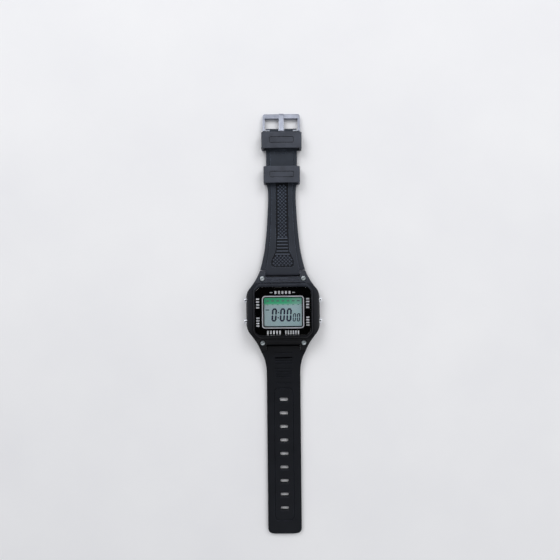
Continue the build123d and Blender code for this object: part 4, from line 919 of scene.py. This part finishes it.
def zero(x, y, wide, tall, line):  # six strokes that lean a little
    lean, upright = math.tan(figures["slant"]), math.pi / 2 - figures["slant"]
    sideX, halfTall = (wide - line) / 2, (tall - line) / 2
    parts = []
    for up in (1, -1):
        parts.append(stroke(x + up * halfTall * lean, y + up * halfTall,
                            wide - line * figures["endGap"], line))
        for side in (1, -1):
            parts.append(stroke(x + side * sideX + up * halfTall / 2 * lean, y + up * halfTall / 2,
                                halfTall - line * figures["sideGap"], line, upright))
    return parts


digits = []
for size in ("large", "small"):
    look = figures[size]
    for x in look["places"]:
        digits += zero(x, look["y"], *look["size"], look["line"])
dots = figures["dots"]
half = dots["size"] / 2
for y in dots["places"]:
    x = dots["x"] + (y - figures["large"]["y"]) * dots["lean"]
    digits.append(patch("dot", (x - half, y - half), (x + half, y + half), "ink"))
finishPiece(joined("displayFigures", digits), "case", finishes["digitInk"])

# segments that are switched off: one flag, then columns of marks, each with half its length
faintMarks = {"flag": ((-8.9, 0.1), (-7.1, 0.75)), "columns": 7, "first": -7.9, "pitch": 2.62,
              "rows": ((0.75, 4.75, 5.35), (0.4, 2.95, 3.25))}
faint = [patch("mark", *faintMarks["flag"], "faint")]
for k in range(faintMarks["columns"]):
    x = faintMarks["first"] + k * faintMarks["pitch"]
    for half, low, high in faintMarks["rows"]:
        faint.append(patch("mark", (x - half, low), (x + half, high), "faint"))
finishPiece(joined("displayFaintMarks", faint), "case", finishes["faintInk"])

# start, end, middle, height and count of each row of bars; upright rows run up the watch
printed = {"dashes": (((-6.7, 9.2), (-5.3, 9.6)), ((4.8, 9.2), (6.2, 9.6))),
           "rows": ((-4.7, 4.3, 9.4, 1.5, 5), (-8.6, -0.9, -10.98, 1.8, 5),
                    (0.7, 8.4, -10.98, 1.8, 6)),
           "upright": ((1.0, 6.8, -12.9, 1.6, 4), (-8.3, -3.0, -12.9, 1.6, 4),
                       (1.0, 6.8, 12.6, 1.6, 4), (-8.0, -2.7, 12.6, 1.6, 4)), "barShare": 0.28}


def barRow(start, end, middle, tall, bars, upright):  # plain bars in place of words
    pitch = (end - start) / bars
    halfBar, halfTall = pitch * printed["barShare"], tall / 2
    made = []
    for k in range(bars):
        at = start + (k + 0.5) * pitch
        low, high = (at - halfBar, middle - halfTall), (at + halfBar, middle + halfTall)
        if upright:
            low, high = low[::-1], high[::-1]
        made.append(patch("bar", low, high, "print"))
    return made


prints = [patch("dash", *corners, "print") for corners in printed["dashes"]]
for kind in ("rows", "upright"):
    for row in printed[kind]:
        prints += barRow(*row, kind == "upright")
finishPiece(joined("dialMarks", prints), "case", finishes["printWhite"])
